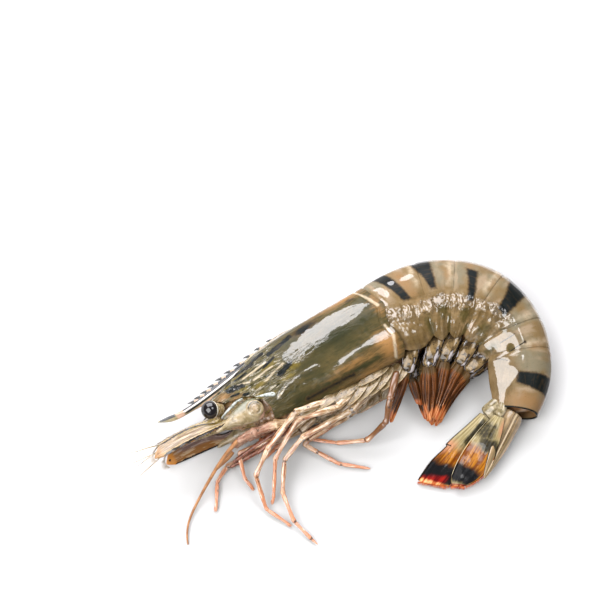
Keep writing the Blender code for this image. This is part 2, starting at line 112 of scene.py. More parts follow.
def zone(at, start, end, ramp=0.08):
    """1 between start and end, with soft borders."""
    return within(0.5 + min(at - start, end - at) / ramp)


def bell(value, middle, width):
    return math.exp(-((value - middle) / width) ** 2)


def band(value, middle, width):
    """A mark across a line: 1 in its middle, 0.5 a width away from it."""
    return 1 - 0.5 * abs(value - middle) / width


def mix(a, b, share):
    return a + (b - a) * share


def flat_way(angle):
    return Vector((math.cos(angle), math.sin(angle), 0))


def heading(along):
    t = within((along - SHIELD_LENGTH) / TAIL_LENGTH)
    return HEAD_HEADING + TAIL_BEND * (t - BEND_EASE * math.sin(TURN * t) / TURN)


MIDLINE_STEP = 0.25
PAST_THE_END = 12


def walk_midline():
    """Points of the bent part of the midline, a step apart."""
    walked = [flat_way(HEAD_HEADING) * SHIELD_LENGTH]
    for k in range(int((TAIL_LENGTH + PAST_THE_END) / MIDLINE_STEP)):
        walked.append(walked[-1] + flat_way(heading(SHIELD_LENGTH + (k + 0.5) * MIDLINE_STEP)) * MIDLINE_STEP)
    return walked


BENT_MIDLINE = walk_midline()


def midline(along):
    if along <= SHIELD_LENGTH:
        return flat_way(HEAD_HEADING) * along
    steps = (along - SHIELD_LENGTH) / MIDLINE_STEP
    k = min(int(steps), len(BENT_MIDLINE) - 2)
    return BENT_MIDLINE[k].lerp(BENT_MIDLINE[k + 1], steps - k)


@lru_cache(maxsize=200000)
def body_frame(along):
    """Centre, backward, dorsal and left directions of the body there."""
    angle = heading(along)
    roll = math.radians(read(ROLL, along))
    flat_dorsal = flat_way(angle + math.pi / 2)
    dorsal = flat_dorsal * math.cos(roll) + UP * math.sin(roll)
    left = UP * math.cos(roll) - flat_dorsal * math.sin(roll)
    return midline(along) + UP * read(CENTRE_HEIGHT, along), flat_way(angle), dorsal, left


HEAD_BACKWARD, HEAD_DORSAL = body_frame(0)[1:3]


@lru_cache(maxsize=200000)
def body_size(along):
    """Height of the back and depth of the belly from the midline, and half width."""
    belly = read(BELLY_DEPTH, along)
    if along > SHIELD_LENGTH:
        k = min(sum(along >= start for start in RING_STARTS[1:6]), 5)
        share = (along - RING_STARTS[k]) / RING_LENGTHS[k]
        belly *= 1 + SCALLOP * math.sin(math.pi * within(share)) ** 2
    return read(BACK_HEIGHT, along), belly, read(HALF_WIDTH, along)


def body_point(along, dorsal, side):
    centre, _, up, left = body_frame(along)
    return centre + up * dorsal + left * side


def power(value, grade=SECTION_POWER):
    return math.copysign(abs(value) ** (2 / grade), value)


def shell_place(along, turn, lift=0.0):
    """A point on the shell, and its plan. turn is 0 on the back and grows to the left, in degrees."""
    back, belly, width = body_size(along)
    angle = math.radians(turn)
    up, out = power(math.cos(angle)), power(math.sin(angle))
    up *= back if up > 0 else belly
    out *= width
    if lift:
        grown = 1 + lift / math.hypot(up, out)
        up, out = up * grown, out * grown
    point = body_point(along, up, out)
    point.z = max(point.z, 0.02, -0.5 * lift)
    return point, (along, up, out)


# ---- Making pieces

WELD = 0.002


def show(name, mesh, material):
    """A new object at the origin, with its mesh and one material."""
    mesh.materials.append(material)
    piece = bpy.data.objects.new(name, mesh)
    bpy.context.scene.collection.objects.link(piece)
    return piece


def new_piece(name, bm, material, replaces=()):
    """The finished piece, put in the row frame, riding on the one body."""
    bmesh.ops.recalc_face_normals(bm, faces=bm.faces)
    if any(edge.is_boundary for edge in bm.edges):
        middle = sum((v.co for v in bm.verts), Vector()) / len(bm.verts)
        if sum(face.normal.dot(face.calc_center_median() - middle) for face in bm.faces) < 0:
            bmesh.ops.reverse_faces(bm, faces=bm.faces)
    bmesh.ops.translate(bm, vec=SOCKET, verts=bm.verts)
    bmesh.ops.scale(bm, vec=(MM, MM, MM), verts=bm.verts)
    mesh = bpy.data.meshes.new(name)
    bm.to_mesh(mesh)
    bm.free()
    mesh.shade_smooth()
    piece = show(name, mesh, material)
    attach(piece, "root")
    if replaces:
        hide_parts(*replaces)
    return piece


def add_sheet(bm, cols, rows, place, traits=None, weld=False):
    """A grid laid onto a surface. place(u, v) gives a point and its plan; traits are painted per vertex."""
    traits = traits or {}
    floats, vectors = bm.verts.layers.float, bm.verts.layers.float_vector
    for kind, wanted in ((vectors, ["plan"]), (floats, traits)):
        for name in wanted:
            if name not in kind:
                kind.new(name)
    plan = vectors["plan"]
    made = bmesh.ops.create_grid(bm, x_segments=cols, y_segments=rows, size=0.5)["verts"]
    for v in made:
        v.co, where = place(v.co.x + 0.5, v.co.y + 0.5)
        v[plan] = where
        for name, trait in traits.items():
            v[floats[name]] = trait(*where)
    if weld:
        bmesh.ops.remove_doubles(bm, verts=made, dist=WELD)


def thicken(piece, thickness):
    wall = piece.modifiers.new("wall", "SOLIDIFY")
    wall.thickness = thickness * MM
    wall.offset = -1.0
    wall.use_even_offset = False


def path_lengths(points):
    runs = [0.0]
    for start, end in zip(points, points[1:]):
        runs.append(runs[-1] + (end - start).length)
    return runs


def smooth_path(points, count):
    """A smooth curve through a few points, read at even steps."""
    points = [Vector(point) for point in points]
    runs = path_lengths(points)
    stations = [[(run / runs[-1], point[axis]) for run, point in zip(runs, points)] for axis in range(3)]
    return [Vector([read(line, k / (count - 1)) for line in stations]) for k in range(count)]


def body_points(places, sign):
    """Places of the body, on the left for a sign of 1 and mirrored to the right for -1."""
    return [body_point(along, dorsal, sign * side) for along, dorsal, side in places]


def body_path(places, sign, count):
    return smooth_path(body_points(places, sign), count)


def bent_path(points, count, bend):
    """A path of straight runs with short bends of the given size at its joints, read at even steps."""
    runs = path_lengths(points)
    found = []
    for k in range(count):
        at = runs[-1] * k / (count - 1)
        taps = []
        for shift in (-bend, -bend / 2, 0, bend / 2, bend):
            here = within(at + shift, 0.0, runs[-1])
            i = min(sum(here >= run for run in runs[1:-1]), len(points) - 2)
            taps.append(points[i].lerp(points[i + 1], (here - runs[i]) / max(runs[i + 1] - runs[i], 1e-6)))
        found.append(sum(taps, Vector()) / len(taps))
    return found


def add_tube(bm, path, girth, face=UP, rows=12, traits=None, square=2.0):
    """A closed limb along a path. girth(share, mm) gives its half width and half depth, and face is its flat
    side. Its plan is the run in mm, the turn from 0 to 1 with 0.25 on the face, and the share of the run."""
    runs = path_lengths(path)
    last = len(path) - 1
    frames = []
    for k in range(last + 1):
        way = (path[min(k + 1, last)] - path[max(k - 1, 0)]).normalized()
        wide = way.cross(face)
        if wide.length < 0.05:
            wide = way.cross(Vector((1, 0.3, 0)))
        wide.normalize()
        frames.append((wide, wide.cross(way).normalized()))

    def place(u, v):
        k = min(int(round(u * last)), last)
        share = runs[k] / runs[-1]
        half_width, half_depth = girth(share, runs[k])
        wide, deep = frames[k]
        point = (path[k] + wide * (half_width * power(math.cos(TURN * v), square))
                 + deep * (half_depth * power(math.sin(TURN * v), square)))
        point.z = max(point.z, 0.0)
        return point, (runs[k], v, share)

    add_sheet(bm, last, rows, place, traits, weld=True)


def rounded(share, ends=0.04):
    """1 along most of a run and 0 at its two ends, rounded like the end of a rod."""
    near = min(share, 1 - share) / ends
    return math.sqrt(max(1 - (1 - min(near, 1.0)) ** 2, 0.0))


def taper(first, last, ends):
    """Girth of a round limb that narrows evenly, with rounded ends."""
    return lambda share, run: (mix(first, last, share) * rounded(share, ends),) * 2


def lumps(x, y, z, size, seed=0.0):
    """Smooth noise from -1 to 1 with bumps of the given size in mm."""
    return noise.noise(Vector((x / size + seed, y / size, z / size)))


# ---- Paint

class Paint:
    """Builds one material from nodes. base, mark and speck paint its colour; the rest give what they add."""

    def __init__(self, name):
        self.material = bpy.data.materials.new(name)
        self.material.use_nodes = True
        self.tree = self.material.node_tree
        self.shader = next(n for n in self.tree.nodes if n.type == "BSDF_PRINCIPLED")
        self.place = self.add("ShaderNodeTexCoord", output="Object")
        self.colour = None

    def feed(self, node, values):
        """Links or sets a node's inputs."""
        for key, value in values.items():
            if isinstance(value, bpy.types.NodeSocket):
                self.tree.links.new(value, node.inputs[key])
            else:
                node.inputs[key].default_value = value

    def add(self, kind, inputs=None, output=0, **settings):
        node = self.tree.nodes.new(kind)
        for key, value in settings.items():
            setattr(node, key, value)
        self.feed(node, inputs or {})
        return node.outputs[output]

    def trait(self, name):
        return self.add("ShaderNodeAttribute", output="Fac", attribute_name=name)

    def plan(self, stretch):
        """The piece's own coordinates, in mm, stretched."""
        where = self.add("ShaderNodeAttribute", output="Vector", attribute_name="plan")
        return self.add("ShaderNodeVectorMath", {0: where, 1: stretch}, operation="MULTIPLY")

    def grain(self, scale, detail=3.0, rough=0.55, where=None, warp=0.0):
        return self.add("ShaderNodeTexNoise", {
            "Vector": where or self.place, "Scale": scale, "Detail": detail, "Roughness": rough,
            "Distortion": warp})

    def fibres(self, stretch, warp, detail=4, rough=0.6, scale=1.0):
        return self.grain(scale, detail, rough, self.plan(stretch), warp)

    def math(self, operation, a, b=0.0, c=0.0):
        return self.add("ShaderNodeMath", {0: a, 1: b, 2: c}, operation=operation)

    def sum(self, noisy, share, other):
        """Two noises in one, the first by its share and the other by the rest."""
        return self.math("MULTIPLY_ADD", noisy, share, self.math("MULTIPLY", other, 1 - share))

    def span(self, value, low, high, start=0.0, end=1.0):
        """start below low and end above high, smooth between."""
        return self.add("ShaderNodeMapRange", {
            "Value": value, "From Min": low, "From Max": high, "To Min": start, "To Max": end,
        }, interpolation_type="SMOOTHSTEP")

    def shaken(self, trait, noisy, reach):
        """A trait with a noise added, of the given reach."""
        return self.math("MULTIPLY_ADD", self.math("SUBTRACT", noisy, 0.5), reach, self.trait(trait))

    def cut(self, trait, noisy, reach, soft, depth=1.0, at=0.5):
        """A painted mask whose edge is broken up by a noise."""
        return self.span(self.shaken(trait, noisy, reach), at - soft, at + soft, 0, depth)

    def blend(self, share, base, over):
        node = self.tree.nodes.new("ShaderNodeMix")
        node.data_type = "RGBA"
        full = [(*value, 1.0) if isinstance(value, tuple) else value for value in (base, over)]
        self.feed(node, {0: share, 6: full[0], 7: full[1]})
        return node.outputs[2]

    def mottled(self, noisy, low, high, dark, light):
        return self.blend(self.span(noisy, low, high), dark, light)

    def base(self, *mottling):
        self.colour = self.mottled(*mottling)

    def mark(self, trait, noisy, reach, soft, over, depth=1.0, at=0.5):
        """Paints over the place of a trait."""
        self.colour = self.blend(self.cut(trait, noisy, reach, soft, depth, at), self.colour, over)

    def speck(self, noisy, low, high, over, depth=1.0):
        """Paints over the peaks of a noise, or its dips where low is the larger."""
        self.colour = self.blend(self.span(noisy, low, high, 0, depth), self.colour, over)

    def bump(self, height, distance, strength=1.0, under=None):
        inputs = {"Height": height, "Distance": distance * MM, "Strength": strength}
        if under:
            inputs["Normal"] = under
        return self.add("ShaderNodeBump", inputs)

    def finish(self, roughness, normal=None, coat=1.0, coat_roughness=0.05, flesh=0.0, coat_ior=1.5,
               specular=0.2, coat_normal=None):
        """Links the patterned values to the shader and sets the plain ones."""
        colour = (*self.colour, 1.0) if isinstance(self.colour, tuple) else self.colour
        self.feed(self.shader, {
            "Base Color": colour, "Roughness": roughness, "Coat Weight": coat,
            "Coat Roughness": coat_roughness, "Coat IOR": coat_ior, "Specular IOR Level": specular,
            "Subsurface Weight": flesh, "Subsurface Radius": (1.0, 0.6, 0.35), "Subsurface Scale": 1.5 * MM})
        if normal:
            self.feed(self.shader, {"Normal": normal, "Coat Normal": coat_normal or normal})
        return self.material


# ---- Painted marks, as fields that are 1 in a mark, 0.5 at its edge and 0 well outside it

def patch(at, along, dorsal, long, high, tilt=0.0, depth=1.0):
    """An oval mark."""
    x, y = at[0] - along, at[1] - dorsal
    c, s = math.cos(math.radians(tilt)), math.sin(math.radians(tilt))
    return depth * max(1 - 0.5 * math.hypot((x * c + y * s) / long, (y * c - x * s) / high), 0.0)


def streak(at, along, dorsal, end_along, end_dorsal, width, depth=1.0):
    """A mark along a line, reaching its width on each side."""
    dx, dy = end_along - along, end_dorsal - dorsal
    x, y = at[0] - along, at[1] - dorsal
    t = within((x * dx + y * dy) / (dx * dx + dy * dy))
    return depth * max(1 - 0.5 * math.hypot(x - dx * t, y - dy * t) / width, 0.0)


def ridge(at, line, width):
    """A mark along a bent line."""
    return max(streak(at, *start, *end, width) for start, end in zip(line, line[1:]))


def marks(at, ovals=(), lines=()):
    """The strongest of some ovals and lines."""
    return max([patch(at, *oval) for oval in ovals] + [streak(at, *line) for line in lines])


def painted(ovals=(), lines=()):
    """The trait that some ovals and lines make."""
    return lambda along, dorsal, side: marks((along, dorsal), ovals, lines)


# ---- Shell paint

def shell_paint(name, base, tops, back_run, warm, streaky, dry, folding, front=None, sharp=False):
    """Wet banded shell. base holds its dark, light, speckled and olive colours, tops those of the back, warm
    its tan and front those of a streaky nose. back_run and folding stretch the streaks of the back and the
    folds, streaky is the streaks' share of the base, and dry the coat where the shell isn't wet. Where sharp,
    the folds are shards and the water film on them leans."""
    p = Paint(name)
    broad = p.grain(190, 3)
    fine = p.grain(900, 4, 0.65)
    tiny = p.grain(2600, 3, 0.6)
    long_grain = p.fibres((0.22, 1, 1), 0.6, scale=1.1)
    streaks = p.fibres((0.34, 1.7, 0), 0.9, rough=0.62)
    p.base(p.sum(long_grain, streaky, broad), 0.36, 0.64, *base[:2])
    p.speck(fine, 0.52, 0.70, base[2], 0.35)
    # painted shade in the shield's long low band, and dark green elsewhere where the shade trait lies
    p.mark("shade", long_grain, 1.0, 0.45, (0.022, 0.024, 0.010), 0.9)
    top = p.mottled(p.grain(125, 2), 0.40, 0.60, *tops[:2])
    top = p.mottled(p.fibres(back_run, 0.0, 3, 0.5), 0.50, 0.66, top, tops[2])
    p.mark("back", broad, 0.5, 0.35, top)
    if front:
        # the nose's streaks, the palest of them painted highlights
        nose = front[0]
        for low, high, over in ((0.41, 0.47, front[1]), (0.48, 0.53, front[2]), (0.575, 0.615, front[3])):
            nose = p.mottled(streaks, low, high, nose, over)
        p.mark("front", broad, 0.6, 0.3, nose)
    p.mark("tan", long_grain, 0.8, 0.4, warm)
    p.mark("olive", fine, 0.9, 0.25, base[3], 0.8)
    # pale margins and lines; on the shield's rear rim, gill groove and nose they are painted highlights
    p.mark("cream", p.grain(330, 2), 0.8, 0.36, (0.50, 0.41, 0.29), 0.8)
    rough_edge = p.sum(fine, 0.5, broad)
    p.mark("black", rough_edge, 1.2, 0.22, (0.060, 0.034, 0.013), 0.75, 0.32)
    flecks = p.cut("fleck", p.sum(fine, 0.45, streaks), 2.2, 0.10)
    inked = p.math("MAXIMUM", p.cut("black", rough_edge, 0.9, 0.20), flecks)
    ink = p.mottled(long_grain, 0.50, 0.66, (0.005, 0.007, 0.007), (0.022, 0.016, 0.010))
    p.colour = p.blend(inked, p.colour, ink)
    p.speck(tiny, 0.58, 0.72, (0.030, 0.026, 0.013), 0.4)
    if sharp:
        flat = p.plan(folding)
        bent = p.add("ShaderNodeTexNoise", {"Vector": flat, "Scale": 2.0, "Detail": 1.0}, output="Color")
        where = p.add("ShaderNodeVectorMath", {0: flat, 1: bent}, operation="ADD")
        creases = p.add("ShaderNodeTexVoronoi", {"Vector": where, "Scale": 1.0, "Randomness": 1.0})
    else:
        creases = p.fibres(folding, 1.4, 3, 0.5)
    folds = p.bump(p.math("MULTIPLY", creases, p.trait("crease")), 3.0)
    ripple = p.bump(p.grain(240, 2, 0.4), 0.10, 0.25, folds)
    pores = p.bump(tiny, 0.02, 0.3, ripple)
    coat = p.span(p.shaken("wet", p.sum(fine, 0.4, p.grain(360, 3)), 1.3), 0.46, 0.54, dry)
    film = p.bump(p.trait("lean"), 1.0, 1.0, ripple) if sharp else ripple
    return p.finish(p.span(fine, 0.3, 0.7, 0.30, 0.45), pores, coat=coat, flesh=0.1, coat_ior=1.75,
                    specular=0.08, coat_normal=film)


# ---- Head shield

# Its front and rear edges as along over the height, from -1 at the belly to 1 on the back.
FRONT_EDGE = ((-0.87, 8.2), (-0.62, 8.6), (-0.46, 8.3), (-0.32, 7.6), (-0.2, 6.6), (-0.05, 4.8), (0.1, 1.6),
              (0.3, -2.2), (0.6, -4.0), (0.9, -5.4), (1.0, -6.4))
REAR_EDGE = ((-0.87, 49.6), (-0.8, 50.6), (-0.6, 51.2), (-0.25, 50.6), (0.0, 51.6), (0.2, 52.5), (0.5, 51.2),
             (1.0, 50.4))
SHIELD_REACH = 149
SHIELD_WALL = 0.35
GILL_RIDGE = ((11.7, -5.6), (15.0, -4.1), (21.0, -3.6), (26.0, -3.8))
NECK_GROOVE = ((17.0, -3.4), (21.0, 0.5), (24.0, 4.5), (27.0, 8.5))
# The two long gleams of the flank, as dorsal over along: the middle line of the low one, the reach of the
# swelling under it and its half width, then the two borders of the high one.
LOW_GLEAM = ((20, -6.2), (29, -6.8), (34.8, -6.1), (40, -5.6), (45, -5.9), (49, -6.1), (52, -5.4))
LOW_REACH = ((20, 1.0), (28, 1.2), (32.5, 1.6), (37, 1.1), (41, 1.2), (46, 2.0), (51, 1.9))
LOW_GLEAM_HALF = ((28, 0.0), (31, 0.8), (33.5, 0.7), (36.5, 0.3), (40, 0.25), (43, 0.9), (47, 1.4), (50, 1.2),
                  (53, 0.4))
HIGH_GLEAM_TOP = ((18, 4.6), (24, 6.2), (30, 7.6), (38, 8.0), (43, 7.6), (46, 6.4), (49.4, 4.5))
HIGH_GLEAM_FOOT = ((18, 2.8), (21.5, 0.0), (24, -0.3), (28, 0.9), (32, 1.6), (35, 3.1), (38, 3.0), (42, 2.9),
                   (46, 3.8), (49.4, 4.7))
# Pale lines as along, dorsal, end along, end dorsal and half width: painted highlights on the top of the rear
# rim, the front of the gill groove and the nose, then the pale low rear rim.
CREAM_LINES = ((47.4, 11.8, 50.7, 3.0, 0.42), (11.7, -5.6, 15.0, -4.1, 0.2), (6.0, 5.2, 14.0, 5.6, 0.3),
               (2.6, 4.9, 7.0, 3.2, 0.3), (8.4, 2.9, 15.0, 3.4, 0.3), (11.0, 0.6, 18.0, 2.4, 0.3),
               (49.2, -3.5, 49.7, -7.5, 0.4), (49.7, -7.5, 47.6, -12.6, 0.45))
OLIVE_SPOTS = ((19.5, 0.0, 3.0, 1.2), (9.0, 0.6, 2.8, 0.8), (4.5, 7.2, 2.4, 0.5), (4.4, 2.2, 1.8, 0.7),
               (14.0, 4.0, 3.0, 0.6), (7.5, -2.2, 1.4, 1.2), (0.4, 6.2, 2.0, 0.5), (11.0, -3.6, 1.6, 0.7),
               (17.0, -2.0, 2.4, 0.6))


def shield_relief(along, dorsal, side):
    """How far the shield stands out of the plain body shape."""
    at = (along, dorsal)
    middle, reach = read(LOW_GLEAM, along), read(LOW_REACH, along)
    swelling = 0.82 * reach * ease(along, 20, 31) * ease(dorsal, middle + reach, middle - reach)
    lift = swelling * mix(1, 0.25, ease(dorsal, -8.5, -14))
    lift += 0.28 * ease(ridge(at, GILL_RIDGE, 0.5)) - 0.12 * ease(ridge(at, NECK_GROOVE, 1.1))
    if dorsal > 4:
        crest = mix(0.9, 2.0, ease(along, 2, 30))
        keep = 1 - ease(along, 24, 33)
        lift += keep * (0.55 * bell(abs(side), crest, 0.32) - 0.45 * bell(abs(side), crest + 0.9, 0.45))
    back, belly, _ = body_size(SHIELD_LENGTH)
    height = dorsal / (back if dorsal > 0 else belly)
    lift -= 0.28 * bell(read(REAR_EDGE, height) - along, 2.3, 0.4)
    lift += 0.16 * lumps(along * 0.5, dorsal, side, 3.2) + 0.07 * lumps(along, dorsal, side, 1.3, 9)
    return lift + 0.20 * ease(along, 26, 8) * lumps(along * 0.35, dorsal, side, 1.3, 4)


def shield_place(u, v):
    turn = mix(-SHIELD_REACH, SHIELD_REACH, v)
    share = power(math.cos(math.radians(turn)))
    front = read(FRONT_EDGE, share)
    front -= 2.0 * max(1 - abs(share + 0.22) / 0.05, 0) - 0.5 * bell(share, 0.45, 0.12)
    along = mix(front, read(REAR_EDGE, share), u)
    _, plan = shell_place(along, turn)
    return shell_place(along, turn, shield_relief(*plan) * ease(u, 0, 0.02))


def shield_cream(along, dorsal, side):
    top = 0.5 * ease(dorsal, 10.6, 12.0) * ease(along, 34, 26)
    return max(top, 0.85 * marks((along, dorsal), lines=CREAM_LINES))


def shield_front(along, dorsal, side):
    low = ease(dorsal, -1.5, -5.0)
    return ease(along, 23, 15) * (1 - low) + 0.4 * ease(along, 18, 8) * low


def shield_wet(along, dorsal, side):
    """Mirror wet, but for dull spells round the two long gleams and over the rough front."""
    if side < 0:
        return 1.0
    inside = min(read(HIGH_GLEAM_TOP, along) - dorsal, dorsal - read(HIGH_GLEAM_FOOT, along))
    high = within(0.5 + inside / 3.0) * ease(along, 17.5, 19.5) * ease(along, 50.0, 48.6)
    low = band(dorsal, read(LOW_GLEAM, along), max(read(LOW_GLEAM_HALF, along), 0.05))
    rough = mix(0.22, 0.40, ease(along, 21, 16)) * ease(dorsal, -9.0, -6.0)
    return max(high, low, ridge((along, dorsal), GILL_RIDGE, 0.7), rough, ease(dorsal, 10.4, 11.8),
               0.3 * ease(dorsal, -8, -10))


def shield_crease(along, dorsal, side):
    """Uneven towards the front and along the low border of the smooth upper flank."""
    border = ease(dorsal, 3.4, 2.4) * ease(dorsal, -1.0, 1.0) * ease(along, 47, 40)
    return 0.03 + 0.30 * ease(along, 24, 12) + 0.16 * border


SHIELD_TRAITS = {
    # dark spots over the high gleam, and painted shadow in the gap along the rear edge and in the long low
    # shadow band
    "black": painted(((28.8, 8.5, 3.9, 1.3, 4, 0.9), (44.8, 9.2, 1.6, 0.5, -4, 0.7)),
                     ((19.0, -10.0, 34.0, -11.2, 0.6, 0.6), (50.6, 12.0, 52.9, 2.4, 0.22),
                      (52.9, 2.4, 50.7, -4.0, 0.18))),
    # dark green below the high gleam and in a long streak under the low gleam, and painted shade in a long
    # low shadow band
    "shade": painted(((36.0, 0.9, 6.5, 2.0, -4), (44.5, 1.0, 4.0, 1.4, 0, 0.8),
                      (24.0, -1.6, 5.0, 1.4, 0, 0.62)),
                     ((16.0, -9.2, 38.0, -10.6, 1.0, 0.8), (30.0, -8.2, 46.0, -6.9, 0.5, 0.6))),
    "fleck": painted(lines=((1.0, 4.6, 4.4, 3.6, 1.1), (5.4, 8.4, 10.2, 8.0, 0.8),
                            (10.8, 8.7, 14.6, 9.2, 0.6), (4.0, 6.4, 7.6, 6.3, 0.4),
                            (-1.5, 6.4, 2.6, 7.0, 0.35), (0.4, 2.4, 2.6, 1.9, 0.35),
                            (3.6, 0.7, 5.0, 0.3, 0.4), (15.6, 0.0, 19.6, 1.2, 0.8),
                            (12.6, 4.4, 16.6, 5.6, 0.4), (16.0, 7.4, 24.0, 8.8, 0.7))),
    "tan": painted(((43.0, 11.0, 9.5, 1.7, 0, 0.78), (47.2, -9.0, 3.0, 4.0), (-1.5, 4.0, 3.4, 1.4, -8, 0.62),
                    (36.0, -8.8, 9.0, 1.2, 0, 0.66), (-4.0, 3.2, 2.6, 0.9, 15, 0.66),
                    (1.4, 1.2, 2.0, 0.8, 0, 0.6), (50.6, 3.6, 1.6, 4.6, 0, 0.62),
                    (40.0, -12.6, 10.0, 1.2, 0, 0.6))),
    "olive": painted([(*spot, 0, 0.9) for spot in OLIVE_SPOTS]),
    "cream": shield_cream,
    "back": lambda along, dorsal, side: ease(dorsal, 8.5, 12.0),
    "front": shield_front,
    "wet": shield_wet,
    "crease": shield_crease,
}


def make_shield():
    look = shell_paint(
        "wet_shield",
        ((0.035, 0.032, 0.012), (0.073, 0.055, 0.020), (0.026, 0.025, 0.009), (0.135, 0.098, 0.018)),
        ((0.080, 0.062, 0.030), (0.055, 0.046, 0.021), (0.135, 0.098, 0.054)), (0.07, 0.30, 0.45),
        (0.26, 0.135, 0.046), 0.6, 0.06, (0.16, 0.50, 0),
        ((0.016, 0.016, 0.007), (0.090, 0.072, 0.024), (0.085, 0.075, 0.048), (0.34, 0.30, 0.23)))
    bm = bmesh.new()
    add_sheet(bm, 210, 200, shield_place, SHIELD_TRAITS)
    thicken(new_piece("shield", bm, look, ["carapace"]), SHIELD_WALL)


# ---- Tail rings

BAND_TOP = 12.5
BANDS = (
    # middle at BAND_TOP, its lean per mm downwards, half width there and at the low end, lowest dorsal,
    # depth, highest dorsal
    (55.2, 0.32, 1.5, 1.1, 0.6, 1.0, 30),
    (65.4, 0.17, 2.1, 0.7, 2.0, 0.95, 30),
    (75.6, 0.19, 1.3, 0.8, -0.8, 0.85, 9.4),
    (85.0, 0.20, 1.8, 1.2, 2.2, 1.0, 30),
    (107.0, -0.17, 2.4, 1.6, 2.2, 0.9, 30),
)
RINGS = list(zip(RING_STARTS, RING_LENGTHS))
RING_WALL = 0.3
LAST_HINGE = (97.0, 0.5, 1.3, 1.2)
HINGE_LINES = ((96.3, 5.0, 97.9, 0.0, 0.13, 0.9), (99.1, -4.4, 100.4, -0.7, 0.13, 0.9),
               (93.6, 3.0, 94.6, -2.0, 0.13, 0.9))
POOLS = ((67.9, -2.0, 2.0, 1.7, 40), (77.4, -1.0, 2.0, 1.2, 5), (87.0, 2.3, 2.6, 1.3, 20))
GLEAMS = ((61.0, 7.4, 1.8, 0.8, 8), (57.0, 7.4, 0.8, 0.9, 30), (52.2, 1.6, 0.9, 2.6), (65.6, -2.2, 1.1, 1.5),
          (74.4, -0.6, 1.5, 1.1))
# Dorsal height of the wet folded flank's upper border.
WET_TOP = ((52, 0.8), (60.5, -1.2), (67.5, -0.4), (73.3, 0.5), (79, 1.0), (84, 2.6), (88.6, 3.9), (93, 4.5),
           (98, 4.2), (102, 3.3), (106, 1.2), (109, -1))


def ring_black(along, dorsal, side):
    down = BAND_TOP - dorsal
    found = 0.0
    for middle, lean, wide, narrow, lowest, depth, highest in BANDS:
        half = mix(wide, narrow, within(down / (BAND_TOP - lowest)))
        across = 0.5 + (half - abs(along - middle - lean * down)) / 1.6
        ends = min(0.5 + (dorsal - lowest) / 2.2, 0.5 + (highest - dorsal) / 1.6)
        found = max(found, min(across, ends, 1.0) * depth)
    rim = 0.9 * zone(along, 113.35, 116, 0.3)
    return max(found, rim, marks((along, dorsal), [(96.3, 5.0, 0.45, 0.45, 0, 0.8)], HINGE_LINES))


def ring_cream(along, dorsal, side):
    """Paler rear margins, where one shell lies on the next."""
    rear = min(abs(start - 0.8 - along) for start in RING_STARTS[1:6])
    return 0.62 * max(min(0.5 + (0.7 - rear) / 2.4, 0.5 + (dorsal - 3.5) / 5), 0.0)


def wet_top(along):
    return read(WET_TOP, along) + 0.9 * lumps(along, 0, 0, 2.2, 3) * ease(along, 92, 86)


def flank_pools(along, dorsal):
    """Smooth wet places among the folds of the low flank."""
    return marks((along, dorsal), POOLS) * (1 + 0.55 * lumps(along, dorsal, 0, 0.8, 6))


def ring_wet(along, dorsal, side):
    """Where the low flank is wet enough to mirror, and gleams on the first ring."""
    if side < 0:
        return 1.0
    at = (along, dorsal)
    top = wet_top(along)
    patchy = mix(0.45, 0.68, ease(dorsal, top - 5.6, top - 1.6))
    mirror = ease(dorsal, top + 1.0, top - 0.6) * mix(patchy, 1.0, ease(along, 86, 91))
    mirror *= 1 - ease(patch(at, *LAST_HINGE), 0.3, 0.6)
    gleams = marks(at, GLEAMS, [(52.9, 8.6, 54.4, 4.6, 0.9)])
    return max(mirror, gleams, flank_pools(along, dorsal), ease(dorsal, 11.2, 12.4))


def ring_crease(along, dorsal, side):
    """The low flank's folds: sharp along its top, soft lower down, gone further back."""
    top = wet_top(along)
    folded = 0.40 * (1 - 0.85 * ease(flank_pools(along, dorsal), 0.4, 0.65))
    folded *= ease(dorsal, top + 1.0, top - 0.6) * ease(along, 92.5, 89)
    return folded * mix(0.22, 1.0, ease(dorsal, top - 6.0, top - 3.4))


def ring_lean(along, dorsal, side):
    """How far the water film stands off the flank, in mm. It thickens towards the back on the fifth ring and
    thins towards it on those before."""
    fifth = within(dorsal, -5.0, 4.6) * zone(along, 90.0, 98.6, 1.6)
    before = within(dorsal - wet_top(along) + 1.4, -2.0, 2.0) * ease(along, 88.5, 86.5)
    return 0.20 * (fifth - before) * (side > 0)


RING_TRAITS = {
    "black": ring_black,
    "tan": painted(((60.2, 6.5, 1.5, 5.5, 12), (111.6, 6.5, 2.0, 6.5), (81.0, 8.0, 0.5, 3.5, 0, 0.72),
                    (75.6, 10.8, 1.3, 2.4, 0, 0.72), (67.6, 5.6, 0.6, 2.4, 10, 0.72),
                    (71.0, 6.0, 0.9, 3.0, 0, 0.72), (97.5, 7.6, 0.9, 2.6, 0, 0.72),
                    (82.0, -7.6, 2.0, 2.0, 0, 0.72), (72.0, -9.0, 1.2, 1.6, 0, 0.72))),
    # greenish brown blotches low on the flank, one or two to a ring, and round the last hinge
    "olive": painted([(start + 0.62 * length, -5.2, 0.22 * length, 2.2, 20) for start, length in RINGS[1:5]]
                     + [(start + 0.95 * length, -8.6, 0.12 * length, 3.0) for start, length in RINGS[:4]]
                     + [LAST_HINGE, (91.4, 0.0, 1.6, 0.8, 30, 0.8)]),
    "cream": ring_cream,
    "back": lambda along, dorsal, side: ease(dorsal, -3, 7),
    "wet": ring_wet,
    "crease": ring_crease,
    "lean": ring_lean,
}


